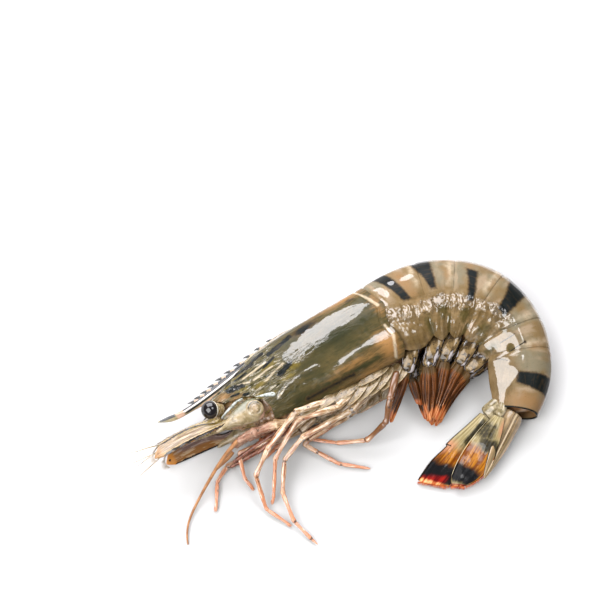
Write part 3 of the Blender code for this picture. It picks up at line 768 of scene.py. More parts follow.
def make_ring(k, look):
    start, length = RINGS[k]
    reach, tucked = (140, 0) if k == 5 else (150, 1)
    swell, rough = (0.06, 0.03) if k > 3 else (0.30, 0.10)

    def place(u, v):
        along = mix(start - 2.0, start + length + 0.3 * tucked, u)
        share = (along - start) / length
        most = reach - 8 * abs(2 * within(share) - 1) ** 2.2
        turn = mix(-most, most, v)
        _, (_, dorsal, side) = shell_place(along, turn)
        lift = -0.55 * (1 - ease(along, start - 0.8, start + 1.4)) - 0.12 * ease(share, 0.95, 1.0) * tucked
        low = ease(dorsal, 3.5, -1.5) * ease(abs(side), 3, 7)
        swelling = swell * lumps(along * 1.3, dorsal * 0.5, side * 0.5, 2.0, k)
        lift += low * (swelling - 0.25 * ease(share, 0.5, 1.0))
        lift += rough * lumps(along, dorsal, side, 3.0, k)
        back, _, width = body_size(along)
        bulge = 1 - max(1 - (max(dorsal, 0) / back) ** SECTION_POWER, 0) ** (1 / SECTION_POWER)
        facet = 0.018 * (dorsal + 5.0) + 0.6 * width * bulge
        facet *= zone(dorsal, -5.0, 4.2, 2.2) * ease(along, 88, 94) * ease(along, 109, 104)
        return shell_place(along, turn, lift + facet * (abs(side) > 1))

    bm = bmesh.new()
    add_sheet(bm, 64, 170, place, RING_TRAITS)
    thicken(new_piece(f"ring_{k + 1}", bm, look, [f"abdomen_{k + 1}"]), RING_WALL)


def make_rings():
    look = shell_paint(
        "wet_rings",
        ((0.115, 0.073, 0.027), (0.190, 0.126, 0.058), (0.070, 0.043, 0.014), (0.055, 0.042, 0.010)),
        ((0.165, 0.108, 0.048), (0.160, 0.134, 0.084), (0.25, 0.185, 0.118)), (0.34, 0.10, 0),
        (0.21, 0.122, 0.053), 0.35, 0.0, (0.30, 0.22, 0), sharp=True)
    for k in range(6):
        make_ring(k, look)


# The flesh is flatter than the shells below this share of its depth.
FLAT_BELLY = 0.35


def make_flesh():
    """What fills the shells, with its closed underside."""
    p = Paint("flesh")
    p.base(p.grain(300, 4), 0.4, 0.65, (0.14, 0.062, 0.024), (0.27, 0.155, 0.075))
    look = p.finish(0.3, p.bump(p.grain(500, 3), 0.4, 0.4), coat=0.6, flesh=0.1)

    def place(u, v):
        along = mix(6.0, BODY_LENGTH + 0.5, u)
        back, belly, width = body_size(along)
        up, out = power(math.cos(TURN * v)), power(math.sin(TURN * v))
        if up < -FLAT_BELLY:
            up = -FLAT_BELLY - (abs(up) - FLAT_BELLY) * 0.68
        closing = min(ease(u, 0, 0.03), ease(u, 1, 0.975))
        ribs = 0.25 * math.sin(along * 1.6) if up < 0 else 0
        up *= (back - 1.6 if up > 0 else belly) * closing
        out *= (width - 1.6) * closing
        return body_point(along, up + ribs * closing, out), (along, up, out)

    bm = bmesh.new()
    add_sheet(bm, 220, 48, place, weld=True)
    new_piece("flesh", bm, look)


# ---- Rostrum

CREST = ((-21, 8.9), (-18, 8.75), (-15, 8.3), (-11, 8.2), (-6, 8.9), (1, 10.3), (7.4, 11.3), (15, 12.4),
          (21, 12.9), (27, 12.6))
KEEL = ((-21, 8.6), (-18, 7.0), (-15, 6.4), (-9, 6.3), (-2, 5.9), (8, 7.6), (16, 9.5), (27, 10.5))
BLADE_RIDGE = ((-21, 8.7), (-17, 7.9), (-12.5, 7.3), (-2, 8.2), (8, 9.7), (16, 10.6), (27, 11.4))
ROSTRUM_TIP = -21.0
ROSTRUM_ROOT = 24.5
TOOTH_TIPS = [-10.8 + 2.1 * k + 0.13 * k * k for k in range(10)]


def make_rostrum():
    p = Paint("rostrum_horn")
    streaks = p.fibres((0.3, 1.6, 1), 0.4, scale=1.3)
    p.base(streaks, 0.35, 0.65, (0.10, 0.085, 0.035), (0.34, 0.27, 0.15))
    p.mark("low", streaks, 0.4, 0.3, (0.42, 0.27, 0.19))
    # painted highlight: a pale lilac line along the blade's ridge
    p.mark("line", streaks, 0.25, 0.15, (0.60, 0.58, 0.60))
    p.mark("black", streaks, 0.5, 0.14, (0.007, 0.008, 0.009))
    look = p.finish(0.25, p.bump(streaks, 0.15, 0.5), flesh=0.05)

    def place(u, v):
        along = mix(ROSTRUM_TIP, ROSTRUM_ROOT, u)
        top, low, middle = (read(line, along) for line in (CREST, KEEL, BLADE_RIDGE))
        ridge_at = (middle - low) / max(top - low, 0.1)
        height = 0.5 - 0.5 * math.cos(TURN * v)
        sideways = math.sin(TURN * v)
        thick = 0.75 * min(1, math.sqrt(max((along - ROSTRUM_TIP) / 12, 0))) * abs(sideways) ** 0.8
        thick *= 1 - 0.35 * bell(height, ridge_at + 0.22, 0.12)
        thick += 0.28 * bell(height, ridge_at, 0.09) * ease(along, -20, -14)
        side = math.copysign(thick, sideways) if abs(sideways) > 1e-6 else 0.0
        dorsal = mix(low, top, height)
        return body_point(along, dorsal, side), (along, dorsal - middle, height)

    def black(along, above, height):
        under = band(above, -0.56, 0.26) * ease(along, -15, -11)
        over = min(0.5 + (above - 0.40) / 0.3, 1.0) * ease(along, 14, 6) * ease(along, -13.6, -12.4)
        tip = 0.9 * min(0.5 + (above + 0.35) / 0.4, 1.0) * zone(along, -20.4, -15.6, 1.0)
        return max(under, over, tip, 0.0)

    # where the painted highlight runs along the blade's ridge
    def line(along, above, height):
        return max(band(above, 0.05, 0.26), 0) * ease(along, -13.8, -12.6)

    def low(along, above, height):
        return max(ease(above, -0.6, -1.4) * ease(along, -16, -14), zone(along, -15.4, -13.0, 1.0))

    bm = bmesh.new()
    add_sheet(bm, 170, 36, place, {"black": black, "line": line, "low": low}, weld=True)

    def tooth(share, run):
        return 0.42 * (1 - share) ** 0.6 + 0.02, 0.72 * (1 - share) ** 0.75 + 0.02

    for k, tip in enumerate(TOOTH_TIPS):
        size = 1.15 if k < 8 else 0.9
        rises = ((tip + 2.9 * size, -0.5), (tip + 1.3 * size, 0.42), (tip, 0.80 * size))
        path = body_path([(along, read(CREST, along) + rise, 0) for along, rise in rises], 1, 14)
        add_tube(bm, path, tooth, UP.cross(path[-1] - path[0]), 10,
                 {"black": lambda run, turn, share: zone(share, 0.38, 2, 0.15),
                  "low": lambda run, turn, share: 0.6 * ease(share, 0.5, 0.3)})
    new_piece("rostrum", bm, look)


# ---- Eyes

EYE_CENTRE = (-7.0, 2.0, 6.9)
EYE_RADIUS = 2.7
EYE_FLATNESS = 0.93
EYESTALK_ROOT = (-3.6, 1.4, 4.2)


def make_eyes():
    p = Paint("eye_ball")
    facets = p.add("ShaderNodeTexVoronoi", {"Vector": p.place, "Scale": 5200.0})
    p.colour = p.blend(facets, (0.003, 0.002, 0.003), (0.007, 0.005, 0.006))
    ball_look = p.finish(0.3, coat_roughness=0.015, coat_ior=1.6, specular=0.0)
    p = Paint("eye_stalk")
    spots = p.grain(1500, 3, 0.6)
    p.base(spots, 0.42, 0.60, (0.42, 0.33, 0.20), (0.20, 0.14, 0.04))
    p.speck(p.grain(2600, 2), 0.60, 0.68, (0.02, 0.016, 0.010))
    p.mark("rim", spots, 0.3, 0.25, (0.62, 0.55, 0.45))
    stalk_look = p.finish(0.25, p.bump(spots, 0.15, 0.4), flesh=0.2)

    def stalk(share, run):
        cup = 0.75 * ease(share, 0.55, 0.9) - 0.25 * ease(share, 0.9, 1.0)
        return (mix(1.5, 1.9, ease(share, 0, 0.5)) + cup,) * 2

    for side, sign in SIDES.items():
        centre, root = body_points((EYE_CENTRE, EYESTALK_ROOT), sign)
        way = (centre - root).normalized()
        bm = bmesh.new()
        made = bmesh.ops.create_uvsphere(bm, u_segments=48, v_segments=32, radius=EYE_RADIUS)["verts"]
        bmesh.ops.scale(bm, vec=(1, 1, EYE_FLATNESS), verts=made)
        bmesh.ops.rotate(bm, matrix=way.to_track_quat("Z", "Y").to_matrix(), verts=made)
        bmesh.ops.translate(bm, vec=centre, verts=made)
        for v in bm.verts:
            v.co.z = max(v.co.z, 0.05)
        new_piece(f"eye_ball_{side}", bm, ball_look, [f"eye_{side}"])
        bm = bmesh.new()
        add_tube(bm, [root.lerp(centre, k / 24 * 0.93) for k in range(25)], stalk, UP, 28,
                 {"rim": lambda run, turn, share: ease(share, 0.62, 0.9)})
        new_piece(f"eye_stalk_{side}", bm, stalk_look)


# ---- Front of the head

# Stations of the scale along its length: the inner and the outer edge, each as (dorsal, side).
SCALE_EDGES = (
    (1.5, (-3.4, 6.2), (-5.6, 7.4)), (-2.6, (-2.9, 6.3), (-4.9, 7.8)), (-7.5, (-2.2, 6.0), (-4.6, 8.0)),
    (-11.8, (0.2, 4.8), (-4.3, 8.0)), (-17.0, (1.3, 4.5), (-3.9, 7.8)), (-22.5, (1.2, 4.6), (-3.5, 7.3)),
    (-26.5, (0.7, 4.9), (-3.3, 6.6)), (-29.2, (-0.7, 5.2), (-3.2, 6.2)))
SCALE_SHRINK = {"left": 0.96, "right": 0.84}


def scale_rim(along, which):
    """A place on the scale's inner (1) or outer (2) edge."""
    return Vector([read([(-station[0], station[which][axis]) for station in SCALE_EDGES], -along)
                   for axis in (0, 1)])


def plain_look(name, dark, light, roughness=0.35, size=600, coat=0.5, relief=0.15):
    p = Paint(name)
    spots = p.grain(size, 3, 0.6)
    p.base(spots, 0.35, 0.65, dark, light)
    return p.finish(roughness, p.bump(spots, relief, 0.4), coat=coat)


HAIR_LOOK = plain_look("bristle", (0.16, 0.10, 0.05), (0.30, 0.21, 0.12), 0.4)
PALE_HAIR_LOOK = plain_look("pale_bristle", (0.50, 0.42, 0.33), (0.66, 0.60, 0.54), 0.4)
FUR_LOOK = plain_look("fur", (0.28, 0.14, 0.085), (0.48, 0.31, 0.21), 0.5, 600, 0.2)
RED_HAIR_LOOK = plain_look("red_bristle", (0.34, 0.05, 0.02), (0.60, 0.17, 0.05), 0.4)


def any_way(chance, reach=1.0):
    """A random vector."""
    return Vector([chance.uniform(-reach, reach) for _ in range(3)])


def hair_piece(name, roots, length, thick, seed, look=HAIR_LOOK):
    """A piece of fine bristles, as slim cones. roots are (place, way) pairs."""
    bm = bmesh.new()
    chance = random.Random(seed)
    for place, way in roots:
        long = length * chance.uniform(0.6, 1.15)
        way = (way + any_way(chance, 0.22)).normalized()
        made = bmesh.ops.create_cone(bm, cap_ends=True, segments=3, radius1=thick, radius2=thick * 0.15,
                                     depth=long)["verts"]
        bmesh.ops.translate(bm, vec=(0, 0, long / 2), verts=made)
        bmesh.ops.rotate(bm, matrix=way.to_track_quat("Z", "Y").to_matrix(), verts=made)
        bmesh.ops.translate(bm, vec=place, verts=made)
        for v in made:
            v.co.z = max(v.co.z, 0.02)
    new_piece(name, bm, look)


def steps(first, last, count):
    return [mix(first, last, k / (count - 1)) for k in range(count)]


def make_scales():
    p = Paint("antennal_scale_skin")
    fibres = p.fibres((0.16, 9.0, 1), 0.5)
    fine = p.grain(1400, 3, 0.6)
    p.base(fibres, 0.38, 0.62, (0.100, 0.066, 0.019), (0.26, 0.19, 0.080))
    pink = p.mottled(fibres, 0.42, 0.60, (0.145, 0.090, 0.042), (0.35, 0.255, 0.150))
    p.mark("pink", fibres, 0.5, 0.35, pink)
    p.mark("mottled", fine, 1.1, 0.15, (0.17, 0.11, 0.015), 0.85)
    p.mark("rib", fibres, 0.2, 0.2, (0.34, 0.24, 0.12))
    p.mark("brown", fibres, 0.6, 0.3, p.mottled(fibres, 0.50, 0.62, (0.20, 0.085, 0.020), (0.36, 0.25, 0.14)))
    p.mark("grey", fibres, 0.7, 0.35, p.mottled(fibres, 0.48, 0.60, (0.13, 0.085, 0.075), (0.30, 0.22, 0.19)))
    p.mark("orange", fibres, 0.4, 0.3, (0.40, 0.16, 0.022))
    # dark speckled inner edge, dark tip, and painted shadow in the gap beyond the outer rib
    p.mark("black", fine, 1.2, 0.12, (0.012, 0.009, 0.007))
    look = p.finish(0.22, p.bump(fibres, 0.25, 0.5), flesh=0.15)
    for side, sign in SIDES.items():
        under = side == "right"
        grey = 0.85 if under else 0.0
        shrink = SCALE_SHRINK[side]

        def place(u, v):
            along = mix(SCALE_EDGES[0][0], SCALE_EDGES[-1][0], u)
            upwards = math.sin(TURN * v)
            across = 0.5 - 0.5 * math.cos(TURN * v)
            inner, outer = scale_rim(along, 1), scale_rim(along, 2)
            closing = math.sqrt(max(min(1, u / 0.03, (1 - u) / 0.09), 0))
            middle = inner.lerp(outer, 0.5).lerp(inner.lerp(outer, across), max(closing, 0.12))
            thick = 0.30 * abs(upwards) ** 0.5
            if upwards > 0:
                thick += 0.42 * bell(across, 0.86, 0.07) + 0.18 * bell(across, 0.45, 0.05)
                thick += 0.10 * lumps(along * 0.4, across * 6, 0, 1.0)
            out = Vector((outer.y - inner.y, inner.x - outer.x)).normalized()
            middle += out * math.copysign(thick * closing, upwards)
            point = body_point(along * shrink, middle.x, sign * middle.y)
            point.z = max(point.z, 0.05)
            return point, (along, across, 1.0 if upwards > 0 else -1.0)

        def brown(along, across, face):
            if under:
                return 0.85
            return ease(across, 0.94, 0.99) if face > 0 else 0.7

        def black(along, across, face):
            # the line is painted shadow in the gap beyond the outer rib
            line = band(across, 0.95, 0.05) * ease(along, -28, -25) * ease(along, 1, -5)
            edge = ease(across, 0.26, 0.05) * 0.80 * ease(along, -28, -24)
            return max(line, edge, patch((along, across), -27.6, 0.5, 0.5, 0.10, 0, 0.8))

        def hair(along, edge, ahead, rise):
            root = body_point(along * shrink, edge.x, sign * edge.y)
            return root, body_point(along * shrink - ahead, edge.x + rise, sign * edge.y) - root

        bm = bmesh.new()
        add_sheet(bm, 120, 56, place, {
            "pink": lambda along, across, face: ease(along, -8, -14) * ease(across, 0.9, 0.55),
            "mottled": lambda along, across, face: 0.85 * ease(across, 0.42, 0.10) * ease(along, -25, -18),
            "rib": lambda along, across, face: max(band(across, 0.86, 0.06), 0),
            "brown": brown,
            "grey": lambda along, across, face: grey * ease(across, 0.75, 0.35) * ease(along, -27, -20),
            "orange": lambda along, across, face: ease(along, -24, -27) * (0.9 if under else 0.45),
            "black": black,
        }, weld=True)
        new_piece(f"scale_{side}", bm, look, [f"antennal_scale_{side}"])
        fringe = [hair(along, scale_rim(along, 1), 2.2, 0.5) for along in steps(-10.0, -28.6, 150)]
        hair_piece(f"scale_fringe_{side}", fringe, 1.0, 0.07, 3)
        inner, outer = scale_rim(-28.8, 1), scale_rim(-28.8, 2)
        tuft = [hair(mix(-28.6, -29.3, math.sin(math.pi * share)), inner.lerp(outer, share), 2.0, 0)
                for share in steps(0, 1, 50)]
        hair_piece(f"scale_tuft_{side}", tuft, 1.9, 0.06, 4, PALE_HAIR_LOOK)


ANTENNULE_STEM = ((-5.0, -1.0, 3.2), (-9.4, -0.4, 2.7), (-16.0, 0.6, 2.9), (-22.5, 1.0, 3.2),
                   (-24.5, 1.0, 3.3))
ANTENNULE_ENDS = (((-24.2, 1.4, 3.4), (-28.0, 2.4, 4.0), (-31.2, 2.9, 4.6), (-33.2, 3.4, 5.2)),
                  ((-24.2, 0.4, 3.4), (-28.0, -0.3, 4.2), (-31.0, -0.8, 4.8), (-33.2, -1.3, 5.2)))


def make_antennules():
    p = Paint("antennule_skin")
    fine = p.grain(1500, 4, 0.65)
    p.base(p.grain(600, 3), 0.4, 0.6, (0.30, 0.21, 0.06), (0.46, 0.34, 0.20))
    p.speck(fine, 0.52, 0.60, (0.035, 0.026, 0.012))
    look = p.finish(0.28, p.bump(fine, 0.2, 0.5))

    def girth(share, run):
        joints = 0.16 * (bell(share, 0.52, 0.02) + bell(share, 0.8, 0.02))
        size = (mix(1.9, 1.0, share) - joints) * rounded(share, 0.05)
        return size, size * 1.05

    for side, sign in SIDES.items():
        bm = bmesh.new()
        add_tube(bm, body_path(ANTENNULE_STEM, sign, 70), girth, UP, 22)
        for places in ANTENNULE_ENDS:
            add_tube(bm, body_path(places, sign, 20), lambda share, run: (mix(0.20, 0.07, share),) * 2, UP, 6)
        new_piece(f"antennule_stem_{side}", bm, look, [f"antennule_{side}"])
        roots = []
        for k, at in enumerate(body_path(ANTENNULE_STEM, sign, 110)):
            for spread in (0.5, 1.1):
                root = at + HEAD_DORSAL * (1.5 * (1 - 0.4 * k / 109))
                roots.append((root, HEAD_DORSAL * spread - HEAD_BACKWARD * 1.6))
        hair_piece(f"antennule_fringe_{side}", roots, 1.3, 0.06, 5)


ANTENNA_BASE = ((7.0, -4.6, 6.2), (4.0, -4.6, 6.8), (1.0, -4.5, 7.0), (-3.5, -4.6, 7.2), (-9.0, -4.9, 7.4))
ANTENNA_SIZE = {"left": 1.0, "right": 0.85}
ANTENNA_HALF = ((0, 2.2), (0.12, 3.4), (0.3, 3.5), (0.5, 2.7), (0.75, 1.3), (1.0, 0.6))
KNOB = (3.9, -4.7, 6.2)
# Reach and height of the knob's two drums, and how dark and how pink they are.
KNOB_DRUMS = ((2.7, 2.9, 1.0, 0.0), (1.75, 3.35, 0.6, 0.3))
LASHES = {
    "left": ((1.4, -10.6, 15.2), (-0.8, -12.3, 12.6), (-2.8, -13.8, 9.4), (-6.3, -18.3, 6.0),
             (-10.8, -25.5, 2.0), (-13.2, -31.0, 1.1), (-13.8, -35.0, 0.8), (-13.5, -38.4, 0.7)),
    "right": ((-0.4, -11.4, 6.0), (-1.8, -13.0, 5.2), (-5.4, -15.8, 3.6)),
}
LASH_GIRTH = {"left": taper(0.66, 0.26, 0.02), "right": taper(0.6, 0.6, 0.02)}
CHEEK = ((2.9, -0.2, 7.5), (0.6, -0.1, 7.4), (-2.6, -0.9, 6.8), (-5.4, -1.8, 6.2))
CHEEK_SPINE = ((12.0, -4.0, 7.7), (9.2, -3.1, 8.4), (6.0, -1.9, 8.5))


def antenna_looks():
    p = Paint("antenna_base_skin")
    soft = p.grain(500, 3)
    grain = p.fibres((0.30, 6.0, 0), 0.6, 3)
    p.base(soft, 0.38, 0.62, (0.20, 0.15, 0.072), (0.33, 0.255, 0.15))
    p.mark("pink", soft, 0.5, 0.35, (0.33, 0.19, 0.13))
    p.mark("green", soft, 0.6, 0.35, (0.13, 0.125, 0.072))
    p.speck(grain, 0.56, 0.66, (0.40, 0.33, 0.22), 0.7)
    p.speck(grain, 0.42, 0.36, (0.10, 0.075, 0.032), 0.6)
    arc = p.math("MULTIPLY", p.trait("arc"), p.span(soft, 0.30, 0.46))
    p.colour = p.blend(arc, p.colour, (0.03, 0.024, 0.014))
    p.speck(p.grain(1500, 3, 0.6), 0.64, 0.72, (0.10, 0.07, 0.03), 0.6)
    base_look = p.finish(0.25, p.bump(grain, 0.2, 0.6, p.bump(soft, 0.35, 0.6)), flesh=0.1)
    p = Paint("lash_skin")
    rings = p.math("SINE", p.math("MULTIPLY", p.trait("ring"), 26.0))
    p.base(p.grain(400, 3), 0.35, 0.65, (0.30, 0.12, 0.035), (0.46, 0.21, 0.075))
    p.speck(rings, 0.3, 0.9, (0.12, 0.05, 0.02), 0.35)
    return base_look, p.finish(0.3, p.bump(rings, 0.05, 0.5), coat=0.6)


def make_antennae():
    base_look, lash_look = antenna_looks()
    cheek_highlight_look = plain_look("cheek_edge", (0.12, 0.125, 0.09), (0.40, 0.43, 0.41), 0.2, 900, 1.0)
    for side, sign in SIDES.items():
        size = ANTENNA_SIZE[side]

        def girth(share, run):
            half = size * read(ANTENNA_HALF, share) * rounded(share, 0.10)
            return half, half * read(((0, 0.6), (0.3, 0.55), (0.6, 0.72), (1, 0.8)), share)

        bm = bmesh.new()
        add_tube(bm, body_path(ANTENNA_BASE, sign, 80), girth, UP, 44, {
            "pink": lambda run, turn, share: ease(share, 0.28, 0.08),
            "green": lambda run, turn, share: zone(turn, 0.02, 0.22, 0.1) * ease(share, 0.9, 0.3)})
        knob = body_points([KNOB], sign)[0]
        rise = (UP * sign + HEAD_BACKWARD * 0.10 - HEAD_DORSAL * 0.10).normalized()
        for reach, high, dark, pink in KNOB_DRUMS:

            def drum(share, run, reach=reach):
                return (size * reach * max(1 - share ** 10, 0) ** 0.5 + 0.02,) * 2

            def arc(run, turn, share, dark=dark):
                low = zone(share, 0.90, 0.955, 0.02) * zone(turn, 0.04, 0.46, 0.1)
                high = zone(share, 0.985, 0.993, 0.006) * zone(turn, 0.10, 0.70, 0.15)
                return dark * max(low, 0.8 * high)

            add_tube(bm, [knob + rise * (high * size * k / 40) for k in range(41)], drum, HEAD_DORSAL, 48,
                     {"arc": arc, "pink": lambda run, turn, share, pink=pink: pink})
        new_piece(f"antenna_base_{side}", bm, base_look)
        bm = bmesh.new()
        add_tube(bm, smooth_path(LASHES[side], 90), LASH_GIRTH[side], UP, 10,
                 {"ring": lambda run, turn, share: run})
        new_piece(f"antenna_lash_{side}", bm, lash_look, [f"antenna_{side}"])
        # the curved edge of shell behind the eye and the spine below it, coloured pale grey as a painted
        # highlight
        bm = bmesh.new()
        add_tube(bm, body_path(CHEEK, sign, 40),
                 lambda share, run: (read(((0, 0.2), (0.4, 0.6), (1, 0.15)), share) * rounded(share, 0.08),
                                     0.35 * rounded(share, 0.08)), HEAD_DORSAL + UP * sign, 16)
        add_tube(bm, body_path(CHEEK_SPINE, sign, 24),
                 lambda share, run: (0.95 * (1 - share) ** 0.9 * rounded(share, 0.08) + 0.01,
                                     0.45 * (1 - share) ** 0.8 * rounded(share, 0.08) + 0.01), UP, 12)
        new_piece(f"cheek_edge_{side}", bm, cheek_highlight_look)


HEAD_SIZE = ((-9.0, 0.0), (-8.2, 0.22), (-6.5, 0.36), (-3.5, 0.50), (0, 0.66), (5, 0.74), (9.0, 0.74))


def make_head():
    p = Paint("head_skin")
    fine = p.grain(1300, 4, 0.65)
    p.base(p.grain(420, 3), 0.4, 0.6, (0.20, 0.135, 0.030), (0.34, 0.20, 0.11))
    p.speck(fine, 0.54, 0.62, (0.035, 0.022, 0.010), 0.85)
    look = p.finish(0.25, p.bump(fine, 0.25, 0.5), flesh=0.1)

    def place(u, v):
        along = mix(HEAD_SIZE[-1][0], HEAD_SIZE[0][0], u)
        back, belly, width = body_size(along)
        up, out = power(math.cos(TURN * v)), power(math.sin(TURN * v))
        size = read(HEAD_SIZE, along) * (1 + 0.08 * lumps(along, up * 4, out * 4, 1.6))
        height = (back if up > 0 else belly) * size
        return body_point(along, up * height - 0.6, out * width * size), (along, up, out)

    bm = bmesh.new()
    add_sheet(bm, 60, 48, place, weld=True)
    new_piece("head_block", bm, look, ["head"])


# ---- Walking legs

# Joints of each limb, from its root to its tip.
MAXILLIPEDS = {
    "maxilliped_left": ((16.0, -4.9, 13.6), (12.0, -5.6, 13.8), (5.5, -8.3, 14.7), (0.8, -11.5, 15.6)),
    "maxilliped_right": ((16.0, -4.9, 6.4), (12.0, -5.0, 7.4), (8.0, -6.0, 8.2), (4.0, -7.9, 8.8),
                         (-0.6, -10.8, 9.0)),
}
LEGS = {
    "leg_left_1": ((23.9, -0.9, 14.6), (15.5, -7.2, 9.6), (1.2, -11.6, 5.4), (3.0, -18.5, 2.0),
                   (6.0, -21.8, 0.8)),
    "leg_left_2": ((30.2, 2.2, 15.5), (18.0, -3.2, 18.5), (9.9, -12.2, 12.0), (6.3, -19.0, 7.0),
                   (9.3, -27.6, 1.5), (17.0, -32.7, 0.8)),
    "leg_left_3": ((36.0, 5.3, 15.0), (30.3, -1.1, 17.0), (18.3, -4.7, 15.5), (12.0, -14.3, 8.5),
                   (11.5, -24.0, 2.5), (11.1, -26.3, 0.8)),
    "leg_left_4": ((41.9, 8.0, 14.5), (34.5, -1.1, 14.0), (20.0, -8.3, 10.5), (14.7, -14.2, 7.0),
                   (14.1, -23.0, 3.0), (17.4, -31.4, 2.2), (22.2, -36.2, 1.0), (24.6, -38.4, 0.8)),
    "leg_left_5": ((47.7, 11.0, 14.5), (45.5, 2.0, 15.0), (44.4, -3.8, 10.5), (39.0, -7.4, 4.5),
                   (30.6, -7.4, 1.8), (20.4, -5.7, 0.8)),
    "leg_right_1": ((23.9, -0.9, 7.0), (19.5, -4.4, 4.4), (10.0, -8.5, 3.2), (-2.1, -14.4, 1.8),
                    (-5.1, -19.2, 1.5), (-5.4, -28.5, 0.8)),
    "leg_right_2": ((30.2, 2.2, 7.0), (24.5, -0.2, 3.0), (17.0, -1.6, 1.3), (8.0, -5.2, 1.2),
                    (6.0, -10.4, 0.9)),
    "leg_right_3": ((36.0, 5.3, 7.0), (30.0, 0.2, 3.0), (24.0, -3.0, 1.7), (17.5, -4.3, 1.2),
                    (12.0, -8.8, 1.1), (8.0, -12.8, 0.8)),
    "leg_right_4": ((41.9, 8.0, 7.0), (34.0, 0.5, 4.5), (22.0, -7.0, 4.0), (20.5, -8.2, 2.8),
                    (23.7, -10.0, 2.3), (30.6, -13.6, 1.2), (40.2, -15.1, 0.8)),
    "leg_right_5": ((47.7, 11.0, 7.0), (44.0, 6.5, 3.0), (37.0, 2.6, 1.6), (31.5, 1.4, 1.2),
                    (26.5, 1.0, 1.0)),
}
# Half width at the root and at the tip, bristles and their length.
LEG_BUILD = (1.08, 0.45, 46, 0.6)
MAXILLIPED_BUILD = (1.45, 1.05, 520, 1.2)


def leg_paint(name, dark, light, painted_highlight, fur):
    p = Paint(name)
    fibres = p.fibres((0.30, 9.0, 0), 0.3)
    p.base(fibres, 0.36, 0.60, dark, light)
    p.mark("root", fibres, 0.6, 0.4, p.mottled(fibres, 0.42, 0.58, (0.24, 0.14, 0.06), (0.48, 0.35, 0.22)))
    p.mark("warm", fibres, 0.5, 0.4, (0.52, 0.20, 0.095))
    # pale specks along the fibres, painted highlights
    p.speck(fibres, 0.56, 0.68, painted_highlight, 0.8)
    # painted shade on each leg's underside, and darker brown over the last left leg's root half
    p.mark("shade", fibres, 0.7, 0.3, (0.15, 0.062, 0.022))
    p.mark("knee", fibres, 1.3, 0.12, (0.05, 0.026, 0.013), 0.9, 0.72)
    spots = p.add("ShaderNodeTexVoronoi", {"Vector": p.plan((0.30, 3.0, 0)), "Scale": 1.0, "Randomness": 1.0})
    spotted = p.math("MULTIPLY", p.span(spots, 0.18, 0.11), p.span(p.grain(1500, 3, 0.6), 0.45, 0.55))
    p.colour = p.blend(spotted, p.colour, (0.045, 0.025, 0.015))
    furry = p.bump(p.grain(2200, 3, 0.6), 0.12, fur)
    return p.finish(0.26, p.bump(fibres, 0.14, 0.6, furry), coat=1.0 - 0.7 * fur, coat_roughness=0.07,
                    flesh=0.15, coat_ior=1.6)


def leg_girth(joints, first, last, seed):
    """Half width and depth of a jointed leg: waists at the joints, a swelling before each."""
    def girth(share, run):
        size = mix(first, last, share)
        for joint in joints:
            size *= 1 + 0.20 * bell(run, joint - 0.5, 0.55) - 0.20 * bell(run, joint + 0.25, 0.22)
        size *= 1 + 0.10 * math.sin(run * 0.9 + seed)
        size *= rounded(share, 0.03) if share < 0.5 else max(rounded(share, 0.06), 0.02)
        return size, size * 0.82
    return girth


def make_leg(name, places, number, build, skin, hair):
    furry, dusky = name in MAXILLIPEDS, name == "leg_left_5"
    first, last, hairs, hair_length = build
    corners = [Vector(place) for place in places]
    *joints, length = path_lengths(corners)[1:]
    path = bent_path(corners, int(length * 3.2), 0.8)
    girth = leg_girth(joints, first, last, number)

    def knee(run, turn, share):
        near = max(band(min(abs(run - joint) for joint in joints), 0, 0.6), 0.0)
        return near * (0.45 + 0.55 * zone(math.sin(TURN * turn + run), 0.1, 2, 0.6)) * (0.3 if furry else 1.0)

    # painted shade on the underside, and the last left leg darker over its root half
    def shade(run, turn, share):
        return max(0.75 * ease(math.sin(TURN * turn), 0.1, -0.7), 0.85 * ease(share, 0.62, 0.45) * dusky)

    bm = bmesh.new()
    add_tube(bm, path, girth, UP, 16, {
        "knee": knee, "shade": shade, "root": lambda run, turn, share: ease(share, 0.5, 0.15),
        "warm": lambda run, turn, share: 0.1 if furry else ease(share, 0.45, 0.9) * 0.8}, 2.8)
    if name[-1] in "123":
        way = (path[-1] - path[-6]).normalized()
        out = way.cross(UP).normalized() * 0.5
        claw = smooth_path([path[-8] + out * 0.3, path[-4] + out, path[-1] + way * 0.1 + out * 0.5], 14)
        add_tube(bm, claw, taper(0.28, 0.056, 0.1), UP, 8, {"warm": lambda run, turn, share: 0.9})
    new_piece(f"{name}_skin", bm, skin, [name])
    chance = random.Random(number)
    roots = []
    for _ in range(hairs):
        at = chance.uniform(0.15, 0.98)
        i = min(int(at * (len(path) - 1)), len(path) - 2)
        way = (path[i + 1] - path[i]).normalized()
        around = any_way(chance)
        around = (around - way * around.dot(way)).normalized()
        roots.append((path[i] + around * girth(at, at * length)[1] * 0.9, around * 0.7 + way))
    hair_piece(f"{name}_bristles", roots, hair_length, 0.05, number, hair)


def make_legs():
    skin = leg_paint("leg_skin", (0.25, 0.085, 0.032), (0.58, 0.38, 0.235), (0.86, 0.72, 0.58), 0.1)
    for number, (name, places) in enumerate(LEGS.items()):
        make_leg(name, places, number, LEG_BUILD, skin, HAIR_LOOK)
    skin = leg_paint("furry_leg_skin", (0.27, 0.125, 0.075), (0.40, 0.235, 0.16), (0.55, 0.39, 0.29), 1.0)
    for number, (name, places) in enumerate(MAXILLIPEDS.items(), len(LEGS)):
        make_leg(name, places, number, MAXILLIPED_BUILD, skin, FUR_LOOK)


PALPS = (
    ((15.5, -3.6, 9.0), (10.0, -7.6, 8.0), (4.5, -11.0, 6.4), (-0.6, -14.4, 4.6)),
    ((15.0, -5.0, 7.0), (9.0, -9.6, 5.5), (3.5, -12.8, 4.2), (-1.5, -15.4, 3.0)),
    ((16.0, -5.5, 11.0), (11.0, -9.4, 9.6), (6.5, -12.6, 7.6)),
)


